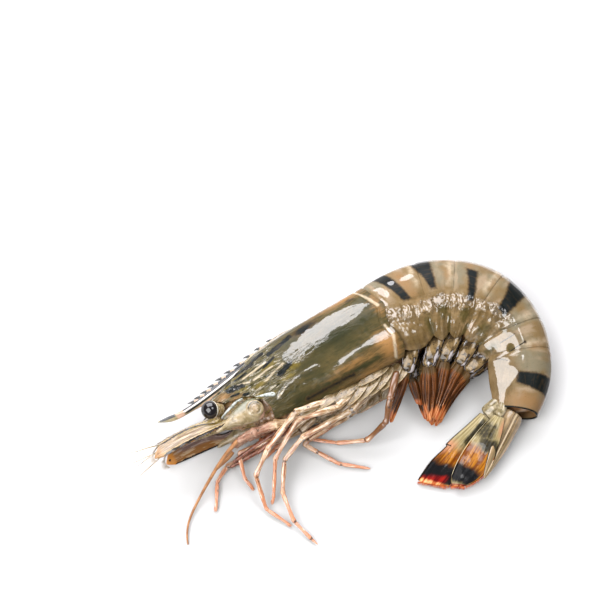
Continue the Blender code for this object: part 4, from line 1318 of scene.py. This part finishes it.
def make_palps():
    """Dark feelers of the mouth, between the first legs."""
    look = plain_look("palp_skin", (0.085, 0.022, 0.010), (0.27, 0.095, 0.050), 0.35, 900, 0.6, 0.3)
    bm, hairs, chance = bmesh.new(), [], random.Random(31)
    for places in PALPS:
        path = smooth_path(places, 60)
        add_tube(bm, path, taper(1.15, 0.5, 0.06), UP, 14)
        for _ in range(120):
            k = chance.randrange(4, 59)
            around = any_way(chance).normalized()
            hairs.append((path[k] + around * 0.6, around + (path[k] - path[k - 1]).normalized()))
    new_piece("palps", bm, look)
    hair_piece("palp_fur", hairs, 1.1, 0.06, 32, FUR_LOOK)


LEG_LEAVES = (
    # root, tip, half width of the left side's plates, which lie on each other like scales
    ((51.0, 14.4, 12.6), (46.2, 6.2, 13.6), 1.9), ((48.4, 13.6, 13.4), (43.0, 4.4, 14.3), 2.0),
    ((46.0, 12.6, 14.2), (39.4, 2.6, 15.0), 2.1), ((42.6, 10.8, 14.8), (36.0, 0.6, 15.6), 2.0),
    ((39.0, 8.8, 15.2), (33.0, -0.8, 16.0), 1.9), ((45.0, 12.2, 15.6), (36.0, 5.2, 16.8), 1.7),
    ((36.5, 7.2, 15.6), (29.0, 0.0, 16.8), 1.7), ((31.0, 4.0, 15.6), (24.0, -2.0, 16.8), 1.6),
    ((25.5, 1.2, 15.2), (19.0, -4.0, 16.0), 1.5),
)
# From which heights a plate's root and tip are taken away for its mirror image on the right.
MIRROR_HEIGHTS = (20.8, 20.4)
THORAX_STATIONS = (4, 8, 14, 20, 26, 32, 38, 44, 49)


def make_leg_roots():
    """Pale leaf-like plates where the legs leave the body."""
    p = Paint("root_plate_skin")
    veins = p.fibres((0.30, 8.0, 1), 0.4)
    p.base(veins, 0.35, 0.62, (0.115, 0.074, 0.027), (0.25, 0.18, 0.095))
    p.mark("rim", veins, 0.3, 0.25, (0.39, 0.30, 0.185))
    p.mark("seam", veins, 0.3, 0.2, (0.10, 0.055, 0.022))
    p.speck(p.grain(1500, 3, 0.6), 0.58, 0.66, (0.028, 0.018, 0.010), 0.85)
    look = p.finish(0.25, p.bump(veins, 0.3, 0.7), flesh=0.2)
    for side, sign in SIDES.items():
        bm = bmesh.new()
        for root, tip, half in LEG_LEAVES:
            root, tip = Vector(root), Vector(tip)
            if side == "right":
                root.z, tip.z = MIRROR_HEIGHTS[0] - root.z, MIRROR_HEIGHTS[1] - tip.z
            belly = Vector((tip.y - root.y, root.x - tip.x, 0)).normalized()

            def girth(share, run, half=half):
                size = half * read(((0, 0.6), (0.3, 1.0), (0.6, 0.95), (0.85, 0.55), (1, 0.08)), share)
                return size * rounded(share, 0.1), 0.26 * rounded(share, 0.06)

            path = smooth_path([root, root.lerp(tip, 0.5) + UP * sign * 0.7, tip], 36)
            add_tube(bm, path, girth, UP * sign + belly * 0.25, 22, {
                "rim": lambda run, turn, share: zone(abs(math.cos(TURN * turn)), 0.84, 2, 0.1),
                "seam": lambda run, turn, share: zone(abs(math.cos(TURN * turn)), 0.66, 0.80, 0.1) * 0.7})
        new_piece(f"leg_plates_{side}", bm, look)


def make_thorax():
    p = Paint("thorax_skin")
    fine = p.grain(700, 4, 0.6)
    p.base(fine, 0.38, 0.62, (0.085, 0.040, 0.016), (0.22, 0.125, 0.065))
    look = p.finish(0.25, p.bump(fine, 0.4, 0.6), flesh=0.1)

    def girth(share, run):
        size = math.sin(math.pi * mix(0.10, 0.90, share)) ** 0.5 * (1 + 0.07 * math.sin(run * 1.75))
        return 6.2 * size, 4.0 * size

    bm = bmesh.new()
    path = body_path([(along, -0.70 * body_size(along)[1], 0) for along in THORAX_STATIONS], 1, 130)
    add_tube(bm, path, girth, HEAD_DORSAL, 40)
    new_piece("thorax_plates", bm, look, ["thorax"])


# ---- Swimming legs

# Where the legs leave the body, how far their blades sweep back, and each leg's ankle and tip.
PLEOPOD_ALONG = (56.5, 67.5, 76.5, 86.0, 94.2)
BLADE_SWEEP = (0.3, 0.0, -0.3, -1.2, -1.9)
PLEOPODS = {
    "left": (((50.7, 11.4, 13.6), (45.2, -3.6, 5.0)), ((57.0, 13.0, 13.4), (56.2, -2.2, 5.6)),
             ((61.5, 14.9, 13.0), (57.8, -2.4, 5.6)), ((66.3, 14.2, 11.6), (59.4, -2.2, 5.6)),
             ((69.0, 12.6, 10.2), (61.0, -1.6, 5.6))),
    "right": (((52.0, 11.2, 7.2), (54.9, 2.6, 4.2)), ((55.6, 12.2, 7.4), (55.4, -1.2, 2.6)),
              ((61.5, 14.9, 7.2), (57.8, -2.4, 2.0)), ((66.3, 14.2, 6.8), (59.4, -2.2, 2.0)),
              ((69.0, 12.6, 6.0), (61.0, -1.6, 2.0))),
}
BLADES_MEET = {"left": Vector((58.2, -1.6, 4.2)), "right": Vector((58.2, -1.6, 1.8))}


def swimmer_looks():
    p = Paint("swimmer_foot_skin")
    fibres = p.fibres((0.30, 7.0, 0), 0.4)
    blocks = p.sum(p.fibres((0.15, 6.4, 0), 0.4, 3, 0.5), 0.70, p.grain(300, 2))
    p.base(fibres, 0.40, 0.60, (0.035, 0.021, 0.008), (0.205, 0.135, 0.058))
    p.speck(p.grain(1000, 3, 0.6), 0.56, 0.64, (0.012, 0.009, 0.007), 0.8)
    p.mark("edge", fibres, 0.6, 0.2, (0.010, 0.008, 0.008))
    # painted reflections on the face of each foot: pale grey blocks with dark borders
    for low, high, over in ((0.505, 0.53, (0.016, 0.013, 0.012)), (0.53, 0.565, (0.38, 0.345, 0.345))):
        p.colour = p.blend(p.math("MULTIPLY", p.span(blocks, low, high), p.trait("painted_reflection")), p.colour, over)
    foot_look = p.finish(0.18, p.bump(blocks, 0.3, 0.7, p.bump(fibres, 0.12, 0.6)), coat=0.8,
                         coat_roughness=0.03, specular=0.05)
    p = Paint("swimmer_blade_skin")
    fibres = p.fibres((0.08, 7.0, 0), 0.3)
    p.base(fibres, 0.42, 0.60, (0.026, 0.008, 0.002), (0.21, 0.070, 0.018))
    # pale lines along the strips, painted highlights
    p.speck(fibres, 0.59, 0.625, (0.66, 0.42, 0.29))
    p.mark("root", fibres, 0.8, 0.3, (0.080, 0.044, 0.016))
    p.mark("tip", fibres, 0.7, 0.3, p.mottled(fibres, 0.42, 0.58, (0.27, 0.060, 0.014), (0.50, 0.20, 0.075)))
    return foot_look, p.finish(0.3, p.bump(fibres, 0.14, 0.7), coat=0.18, flesh=0.06, specular=0.05)


def foot_girth(share, run):
    size = read(((0, 1.5), (0.3, 2.0), (0.62, 2.0), (0.78, 1.7), (0.9, 1.6), (1, 0.9)), share)
    size *= rounded(share, 0.08)
    return size * 1.2, size * 0.8


def make_pleopod(side, number, foot_look, blade_look):
    sign, along = SIDES[side], PLEOPOD_ALONG[number]
    name = f"pleopod_{side}_{number + 1}"
    ankle, tip = (Vector(place) for place in PLEOPODS[side][number])
    _, belly, width = body_size(along)
    root = body_point(along, -0.60 * belly, sign * 0.42 * width)
    bm = bmesh.new()
    foot = smooth_path([root, (root + ankle) / 2 + UP * sign * 0.3, ankle, ankle.lerp(tip, 0.05)], 44)
    add_tube(bm, foot, foot_girth, UP, 28, {
        "edge": lambda run, turn, share: ease(abs(math.cos(TURN * turn)), 0.84, 0.95),
        # where the painted reflections lie, on the foot's face
        "painted_reflection": lambda run, turn, share: ease(math.sin(TURN * turn), 0.0, 0.3) * ease(share, 0.15, 0.3),
    }, 2.6)
    new_piece(f"{name}_foot", bm, foot_look, [name])
    bm = bmesh.new()
    backward = body_frame(along)[1]
    chance = random.Random(number * 7 + sign)
    strips = 6 if number else 3
    for strip in range(strips):
        spread = strip - (strips - 1) / 2
        start = ankle.lerp(tip, 0.01) + backward * spread * 0.52 + UP * sign * chance.uniform(-0.3, 0.5)
        end = tip.lerp(BLADES_MEET[side], 0.5) if number else tip
        end = end + backward * spread * 0.22 + (start - tip) * chance.uniform(0.0, 0.16)
        end = end + UP * chance.uniform(-0.5, 0.5)
        across = BLADE_SWEEP[number] + spread * 0.42 + chance.uniform(-0.3, 0.3)
        bulge = Vector((across, 0, spread * 0.25))
        middle = (start + end) / 2 + bulge
        path = smooth_path([start, start.lerp(middle, 0.5) + bulge * 0.35, middle,
                            middle.lerp(end, 0.55) + bulge * 0.18, end], 54)
        wide = chance.uniform(0.85, 1.15)

        def girth(share, run, wide=wide):
            size = wide * read(((0, 0.55), (0.2, 0.78), (0.6, 0.74), (0.85, 0.66), (1, 0.6)), share)
            return size * rounded(share, 0.06), size * 0.55 * rounded(share, 0.03)

        add_tube(bm, path, girth, UP + backward * spread * 0.3, 14,
                 {"tip": lambda run, turn, share: ease(share, 0.66, 0.95),
                  "root": lambda run, turn, share: ease(share, 0.25, 0.05)})
    new_piece(f"{name}_blades", bm, blade_look)


def make_pleopods():
    looks = swimmer_looks()
    for side in SIDES:
        for number in range(5):
            make_pleopod(side, number, *looks)


# ---- Tail fan

FAN_EDGES = {
    # outer edge, inner edge, from the joint to the end
    "uropod_outer_left": (
        ((72.4, 0.4, 7.2), (67.8, -3.5, 5.6), (64.1, -6.5, 4.4), (61.4, -9.1, 3.6), (56.9, -14.0, 2.1),
         (53.4, -19.2, 1.2)),
        ((75.0, -1.6, 7.2), (73.2, -6.0, 5.4), (69.3, -11.7, 3.4), (66.0, -17.5, 1.7), (62.4, -20.9, 1.2))),
    "uropod_inner_left": (
        ((76.2, -0.8, 9.0), (71.9, -4.9, 7.6), (66.8, -11.2, 4.9), (63.6, -17.9, 2.9), (63.6, -20.9, 2.3)),
        ((79.4, -2.0, 9.2), (78.6, -6.0, 8.0), (77.5, -9.9, 6.8), (75.4, -15.4, 4.6), (71.4, -19.2, 3.2),
         (67.4, -21.1, 2.4))),
    "uropod_outer_right": (
        ((72.6, -1.4, 1.6), (65.6, -8.4, 0.9), (60.6, -14.5, 0.7), (58.4, -19.4, 0.7)),
        ((75.6, -3.2, 2.0), (73.2, -10.5, 1.2), (70.0, -16.5, 0.8), (66.4, -20.2, 0.8))),
    "uropod_inner_right": (
        ((75.6, -1.6, 2.8), (69.8, -9.4, 2.0), (66.6, -15.2, 1.6), (65.8, -19.2, 1.6)),
        ((78.0, -3.4, 3.0), (76.2, -10.8, 2.4), (73.4, -16.0, 2.2), (70.0, -19.4, 1.9))),
}
FAN_FEET = {
    # stem, branch, size
    "left": (((79.3, 4.6, 8.4), (76.2, 1.7, 7.9), (73.4, -0.6, 7.2)),
             ((79.2, 3.4, 9.6), (78.4, 0.4, 9.5), (77.2, -1.6, 9.0)), 1.0),
    "right": (((79.6, 1.8, 2.4), (76.8, -0.2, 2.2), (74.2, -2.0, 1.9)),
              ((79.6, 1.2, 3.6), (78.4, -0.8, 3.4), (77.0, -2.2, 3.0)), 0.75),
}
FAN_STEPS = 120
FAN_LENGTH = 25
# Middle, height and width of each blade's ribs, across it from -1 at the outer edge to 1 at the inner one.
OUTER_RIBS = ((-0.72, 0.20, 0.10), (0.05, 0.26, 0.05))
INNER_RIBS = ((-0.05, 0.26, 0.035), (0.45, 0.16, 0.04))
# Traits over the share of the blade's length, that share on a slant, and the place across.
OUTER_FAN = {
    "pink": lambda share, slant, across: zone(slant, 0.42, 0.62, 0.12) * ease(across, 0.1, -0.7),
    "olive": lambda share, slant, across: zone(slant, 0.06, 0.44, 0.14) * ease(across, -0.40, 0.15),
    "orange": lambda share, slant, across: zone(slant + 0.06 * across, 0.50, 0.85, 0.24),
    "black": lambda share, slant, across: zone(slant - 0.03 * across, 0.715, 0.97, 0.18),
    "red": lambda share, slant, across: zone(slant + 0.03 * across, 0.88, 1.1, 0.08) * ease(across, 1.0, 0.1),
    "fringe": lambda share, slant, across: zone(share - 0.012 * across, 0.962, 1.1, 0.05),
    "rib": lambda share, slant, across: zone(across, -0.76, -0.68, 0.12) * ease(share, 0.56, 0.40) * 0.6,
    "edge": lambda share, slant, across: max(
        zone(across, -1.2, -0.92, 0.04), zone(share, 0.492, 0.506, 0.012) * zone(across, -0.95, -0.55, 0.1)),
}
INNER_FAN = {
    "pink": lambda share, slant, across: 0.7 * zone(slant, 0.0, 0.24, 0.2) * ease(across, 0.2, 0.9),
    "olive": lambda share, slant, across: max(0.75 * zone(slant, 0.10, 0.36, 0.12) * ease(across, 0.8, 0.1),
                                              zone(slant, 0.30, 0.47, 0.10) * ease(across, -0.9, 0.1)),
    "orange": lambda share, slant, across: zone(slant, 0.45, 0.9, 0.10),
    "black": lambda share, slant, across: zone(slant, 0.715, 0.955, 0.16) * ease(across, 0.99, 0.80),
    "red": lambda share, slant, across: zone(share, 0.965, 1.1, 0.03) * 0.8,
    "fringe": lambda share, slant, across: zone(share, 0.985, 1.1, 0.02) * 0.8,
    "rib": lambda share, slant, across: max(zone(across, -0.065, -0.035, 0.04) * 0.9,
                                            zone(across, -1.2, -0.955, 0.04)) * ease(share, 0.96, 0.80),
    "edge": lambda share, slant, across: zone(across, 0.955, 1.2, 0.03),
}


def fan_paint():
    p = Paint("fan_skin")
    fibres = p.fibres((0.10, 5.0, 0), 0.3)
    fine = p.grain(1100, 4, 0.6)
    broad = p.grain(420, 3)
    p.base(fibres, 0.35, 0.65, (0.20, 0.155, 0.065), (0.35, 0.29, 0.16))
    p.mark("pink", broad, 0.4, 0.4, (0.40, 0.19, 0.10))
    orange = p.mottled(fibres, 0.44, 0.62, (0.125, 0.030, 0.002), (0.33, 0.125, 0.008))
    olive = p.mottled(fibres, 0.42, 0.60, (0.030, 0.024, 0.009), (0.105, 0.080, 0.030))
    red = p.mottled(fibres, 0.40, 0.60, (0.090, 0.003, 0.004), (0.24, 0.010, 0.007))
    fringe = p.mottled(fibres, 0.42, 0.60, (0.40, 0.085, 0.020), (0.68, 0.36, 0.14))
    p.mark("orange", fibres, 0.4, 0.42, orange)
    p.mark("olive", broad, 0.8, 0.34, olive)
    p.mark("olive", fine, 1.4, 0.3, (0.018, 0.015, 0.008), 0.9, 0.75)
    p.mark("black", p.sum(fibres, 0.6, broad), 0.9, 0.26, (0.006, 0.006, 0.007))
    p.mark("red", broad, 0.8, 0.45, red)
    p.mark("fringe", fibres, 0.7, 0.4, fringe)
    p.mark("rib", fibres, 0.3, 0.3, (0.56, 0.47, 0.30), 0.8)
    p.mark("edge", fine, 0.3, 0.25, (0.018, 0.012, 0.008))
    ripple = p.bump(p.grain(700, 3, 0.6), 0.12, 0.3)
    patchy = p.span(p.grain(260, 3), 0.52, 0.60, 0.10, 0.75)
    return p.finish(0.24, p.bump(fibres, 0.16, 0.7, ripple), coat=patchy, coat_roughness=0.04, flesh=0.04,
                    specular=0.05)


def make_fan_blade(name, edges, look):
    outer = "outer" in name
    ribs, fields, lean = (OUTER_RIBS, OUTER_FAN, 0.02) if outer else (INNER_RIBS, INNER_FAN, -0.02)
    left_edge, right_edge = (smooth_path(edge, FAN_STEPS + 1) for edge in edges)

    def place(u, v):
        k = min(int(round(u * FAN_STEPS)), FAN_STEPS)
        upwards = math.sin(TURN * v)
        across = -math.cos(TURN * v) * max(rounded(u, 0.03 if u > 0.5 else 0.015), 0.02)
        thick = 0.30 * abs(upwards) ** 0.6
        if upwards > 0:
            for middle, height, width in ribs:
                thick += height * bell(across, middle, width) * ease(u, 1.0, 0.75)
            thick += 0.35 * bell(across, -0.95, 0.05)
            thick += 0.30 * (1 - across * across) + 0.08 * lumps(u * 8, across * 3, 0, 1.0, 2)
        point = left_edge[k].lerp(right_edge[k], 0.5 + 0.5 * across)
        if outer and u > 0.50:
            step = 0.06 * ease(-across, 0.4, 1.0) * ease(u, 0.50, 0.515) * ease(u, 0.75, 0.5)
            point += (right_edge[k] - left_edge[k]) * step
        point += UP * math.copysign(thick * rounded(u, 0.04), upwards)
        point.z = max(point.z, 0.03)
        return point, (u * FAN_LENGTH, across, 0)

    def slanted(field):
        def trait(run, across, _):
            share = run / FAN_LENGTH
            wavy = 0.022 * lumps(run * 0.35, across * 2.2, 0, 1.0, 5)
            return field(share, share + lean * across + wavy, across)
        return trait

    bm = bmesh.new()
    add_sheet(bm, FAN_STEPS, 72, place, {trait: slanted(field) for trait, field in fields.items()}, weld=True)
    new_piece(f"{name}_skin", bm, look, [name])
    tip_way = (left_edge[-1] + right_edge[-1] - left_edge[-14] - right_edge[-14]).normalized()
    roots = []
    for share in steps(0, 1, 170):
        if share < 0.7:
            across, u = mix(-0.92, 0.95, share / 0.7), 0.992
        else:
            across, u = 0.97, mix(0.985, 0.70, (share - 0.7) / 0.3)
        i = min(int(u * FAN_STEPS), FAN_STEPS - 1)
        root = left_edge[i].lerp(right_edge[i], 0.5 + 0.5 * across * (0.97 if u > 0.98 else 1))
        wide = (right_edge[i] - left_edge[i]).normalized()
        roots.append((root, tip_way + wide * 0.5 * max(across, 0) + UP * (0.1 if root.z > 1.5 else 0)))
    hair_piece(f"{name}_fringe", roots, 1.1, 0.09, 11, RED_HAIR_LOOK)


TELSON_LENGTH = 21.5
TELSON_TURN = math.radians(-15)
TELSON_ROLL = math.radians(54)
TELSON_STEPS = 100


def make_telson():
    p = Paint("telson_skin")
    fibres = p.fibres((0.12, 6.0, 0), 0.3)
    p.base(fibres, 0.35, 0.65, (0.19, 0.125, 0.058), (0.42, 0.29, 0.165))
    p.mark("olive", fibres, 0.8, 0.3, (0.13, 0.10, 0.045))
    # painted highlight along the median line
    p.mark("pale", fibres, 0.3, 0.3, (0.70, 0.56, 0.38))
    p.mark("dark", p.grain(1500, 3, 0.6), 0.5, 0.25, (0.020, 0.016, 0.010))
    look = p.finish(0.22, p.bump(fibres, 0.2, 0.7), flesh=0.1)
    centre, _, dorsal, _ = body_frame(BODY_LENGTH)
    angle = heading(BODY_LENGTH) + TELSON_TURN
    way = flat_way(angle)
    face = flat_way(angle + math.pi / 2) * math.cos(TELSON_ROLL) + UP * math.sin(TELSON_ROLL)
    wide = way.cross(face).normalized()

    def place(u, v):
        middle = centre + dorsal * 1.2 + way * (TELSON_LENGTH * u)
        middle.z = mix(6.6, 4.0, u)
        across, upwards = math.cos(TURN * v), math.sin(TURN * v)
        closing = max(rounded(u, 0.02), 0.02)
        half = read(((0, 3.2), (0.12, 3.6), (0.5, 2.9), (0.85, 1.35), (1, 0.25)), u) * closing
        deep = read(((0, 1.9), (0.15, 1.9), (0.6, 1.1), (1, 0.2)), u) * closing
        if upwards > 0:
            deep *= 1 - 0.26 * bell(abs(across), 0.13, 0.09) * ease(u, 0.02, 0.1)
        point = middle + wide * (half * across) + face * (deep * upwards)
        point.z = max(point.z, 0.05)
        return point, (u * 22, v, across)

    def dark(run, turn, across):
        return max(zone(abs(turn - 0.25), 0.028, 0.040, 0.02) * 0.8, zone(abs(across), 0.93, 2, 0.05) * 0.9)

    bm = bmesh.new()
    add_sheet(bm, TELSON_STEPS, 60, place, {
        # painted highlight along the median line
        "pale": lambda run, turn, across: zone(abs(turn - 0.25), -1, 0.012, 0.014),
        "dark": dark,
        "olive": lambda run, turn, across: zone(abs(turn - 0.25), 0.04, 0.10, 0.06) * ease(run, 1, 8) * 0.7,
    }, weld=True)
    new_piece("telson_spike", bm, look, ["telson"])


def make_fan_feet():
    p = Paint("fan_foot_skin")
    fine = p.grain(1500, 3, 0.6)
    broad = p.grain(500, 3)
    p.base(broad, 0.35, 0.65, (0.15, 0.115, 0.052), (0.36, 0.30, 0.19))
    p.speck(fine, 0.54, 0.66, (0.05, 0.038, 0.018), 0.8)
    p.mark("edge", fine, 0.3, 0.3, (0.02, 0.016, 0.01))
    look = p.finish(0.2, p.bump(broad, 0.10, 0.4), coat_roughness=0.04, flesh=0.1)

    def edge(run, turn, share):
        return max(zone(abs(turn - 0.5), -1, 0.035, 0.04), zone(share, 0.93, 0.96, 0.02))

    for side, (stem, branch, size) in FAN_FEET.items():

        def girth(share, run):
            scale = size * rounded(share, 0.12)
            return (scale * read(((0, 1.2), (0.3, 2.1), (0.7, 2.35), (0.93, 2.1), (1, 1.6)), share),
                    scale * read(((0, 1.2), (0.4, 1.9), (1, 1.3)), share))

        bm = bmesh.new()
        add_tube(bm, smooth_path(stem, 40), girth, UP, 28, {"edge": edge})
        add_tube(bm, smooth_path(branch, 30),
                 lambda share, run: (1.35 * size * rounded(share, 0.2), 1.1 * size * rounded(share, 0.2)),
                 UP, 20)
        new_piece(f"uropod_foot_{side}", bm, look, [f"uropod_base_{side}"])


def make_fan():
    look = fan_paint()
    for name, edges in FAN_EDGES.items():
        make_fan_blade(name, edges, look)
    make_telson()
    make_fan_feet()


# ---- Stage

AIM = SOCKET + Vector((19.2, 38.1, 0))
CAMERA_TILT = math.radians(70)
CAMERA_DISTANCE = 1000
CAMERA_LENS = 200
FLOOR_HALF = 1.5
SOFTBOXES = (
    # name, azimuth, rise, distance in m, width, height, watts, colour
    ("window", -14, 38, 1.3, 1.5, 1.2, 39.0, (0.97, 0.96, 1.0)),
    ("low_window", -128, 54, 1.3, 1.1, 1.1, 24.0, (1, 1, 1)),
    ("right_window", 80, 64, 1.3, 0.5, 0.55, 6.0, (1, 1, 1)),
    ("fill", 200, 40, 1.6, 1.2, 0.9, 2.0, (1, 1, 1)),
)


def make_stage():
    back = Vector((0, -math.cos(CAMERA_TILT), math.sin(CAMERA_TILT)))
    camera = bpy.data.objects.new("camera", bpy.data.cameras.new("camera"))
    camera.data.lens = CAMERA_LENS
    camera.location = (AIM + back * CAMERA_DISTANCE) * MM
    camera.rotation_euler = (math.pi / 2 - CAMERA_TILT, 0, 0)
    bpy.context.scene.collection.objects.link(camera)
    bpy.context.scene.camera = camera

    bm = bmesh.new()
    bmesh.ops.create_grid(bm, x_segments=1, y_segments=1, size=FLOOR_HALF)
    mesh = bpy.data.meshes.new("floor")
    bm.to_mesh(mesh)
    bm.free()
    p = Paint("floor_white")
    p.colour = (0.52, 0.52, 0.52)
    show("floor", mesh, p.finish(0.6, coat=0.0))

    for name, azimuth, rise, distance, wide, tall, watts, colour in SOFTBOXES:
        data = bpy.data.lights.new(name, "AREA")
        data.shape, data.size, data.size_y = "RECTANGLE", wide, tall
        data.energy, data.color = watts, colour
        lamp = bpy.data.objects.new(name, data)
        a, e = math.radians(azimuth), math.radians(rise)
        way = Vector((math.sin(a) * math.cos(e), math.cos(a) * math.cos(e), math.sin(e)))
        lamp.location = way * distance
        lamp.rotation_euler = way.to_track_quat("Z", "Y").to_euler()
        bpy.context.scene.collection.objects.link(lamp)
    world = bpy.data.worlds.new("studio")
    world.use_nodes = True
    world.node_tree.nodes["Background"].inputs["Color"].default_value = (0.68, 0.66, 0.65, 1)
    world.node_tree.nodes["Background"].inputs["Strength"].default_value = 0.36
    bpy.context.scene.world = world
    bpy.context.scene.view_settings.view_transform = "Standard"


make_shield()
make_rostrum()
make_eyes()
make_scales()
make_antennules()
make_antennae()
make_head()
make_rings()
make_flesh()
make_legs()
make_palps()
make_leg_roots()
make_thorax()
make_pleopods()
make_fan()
make_stage()
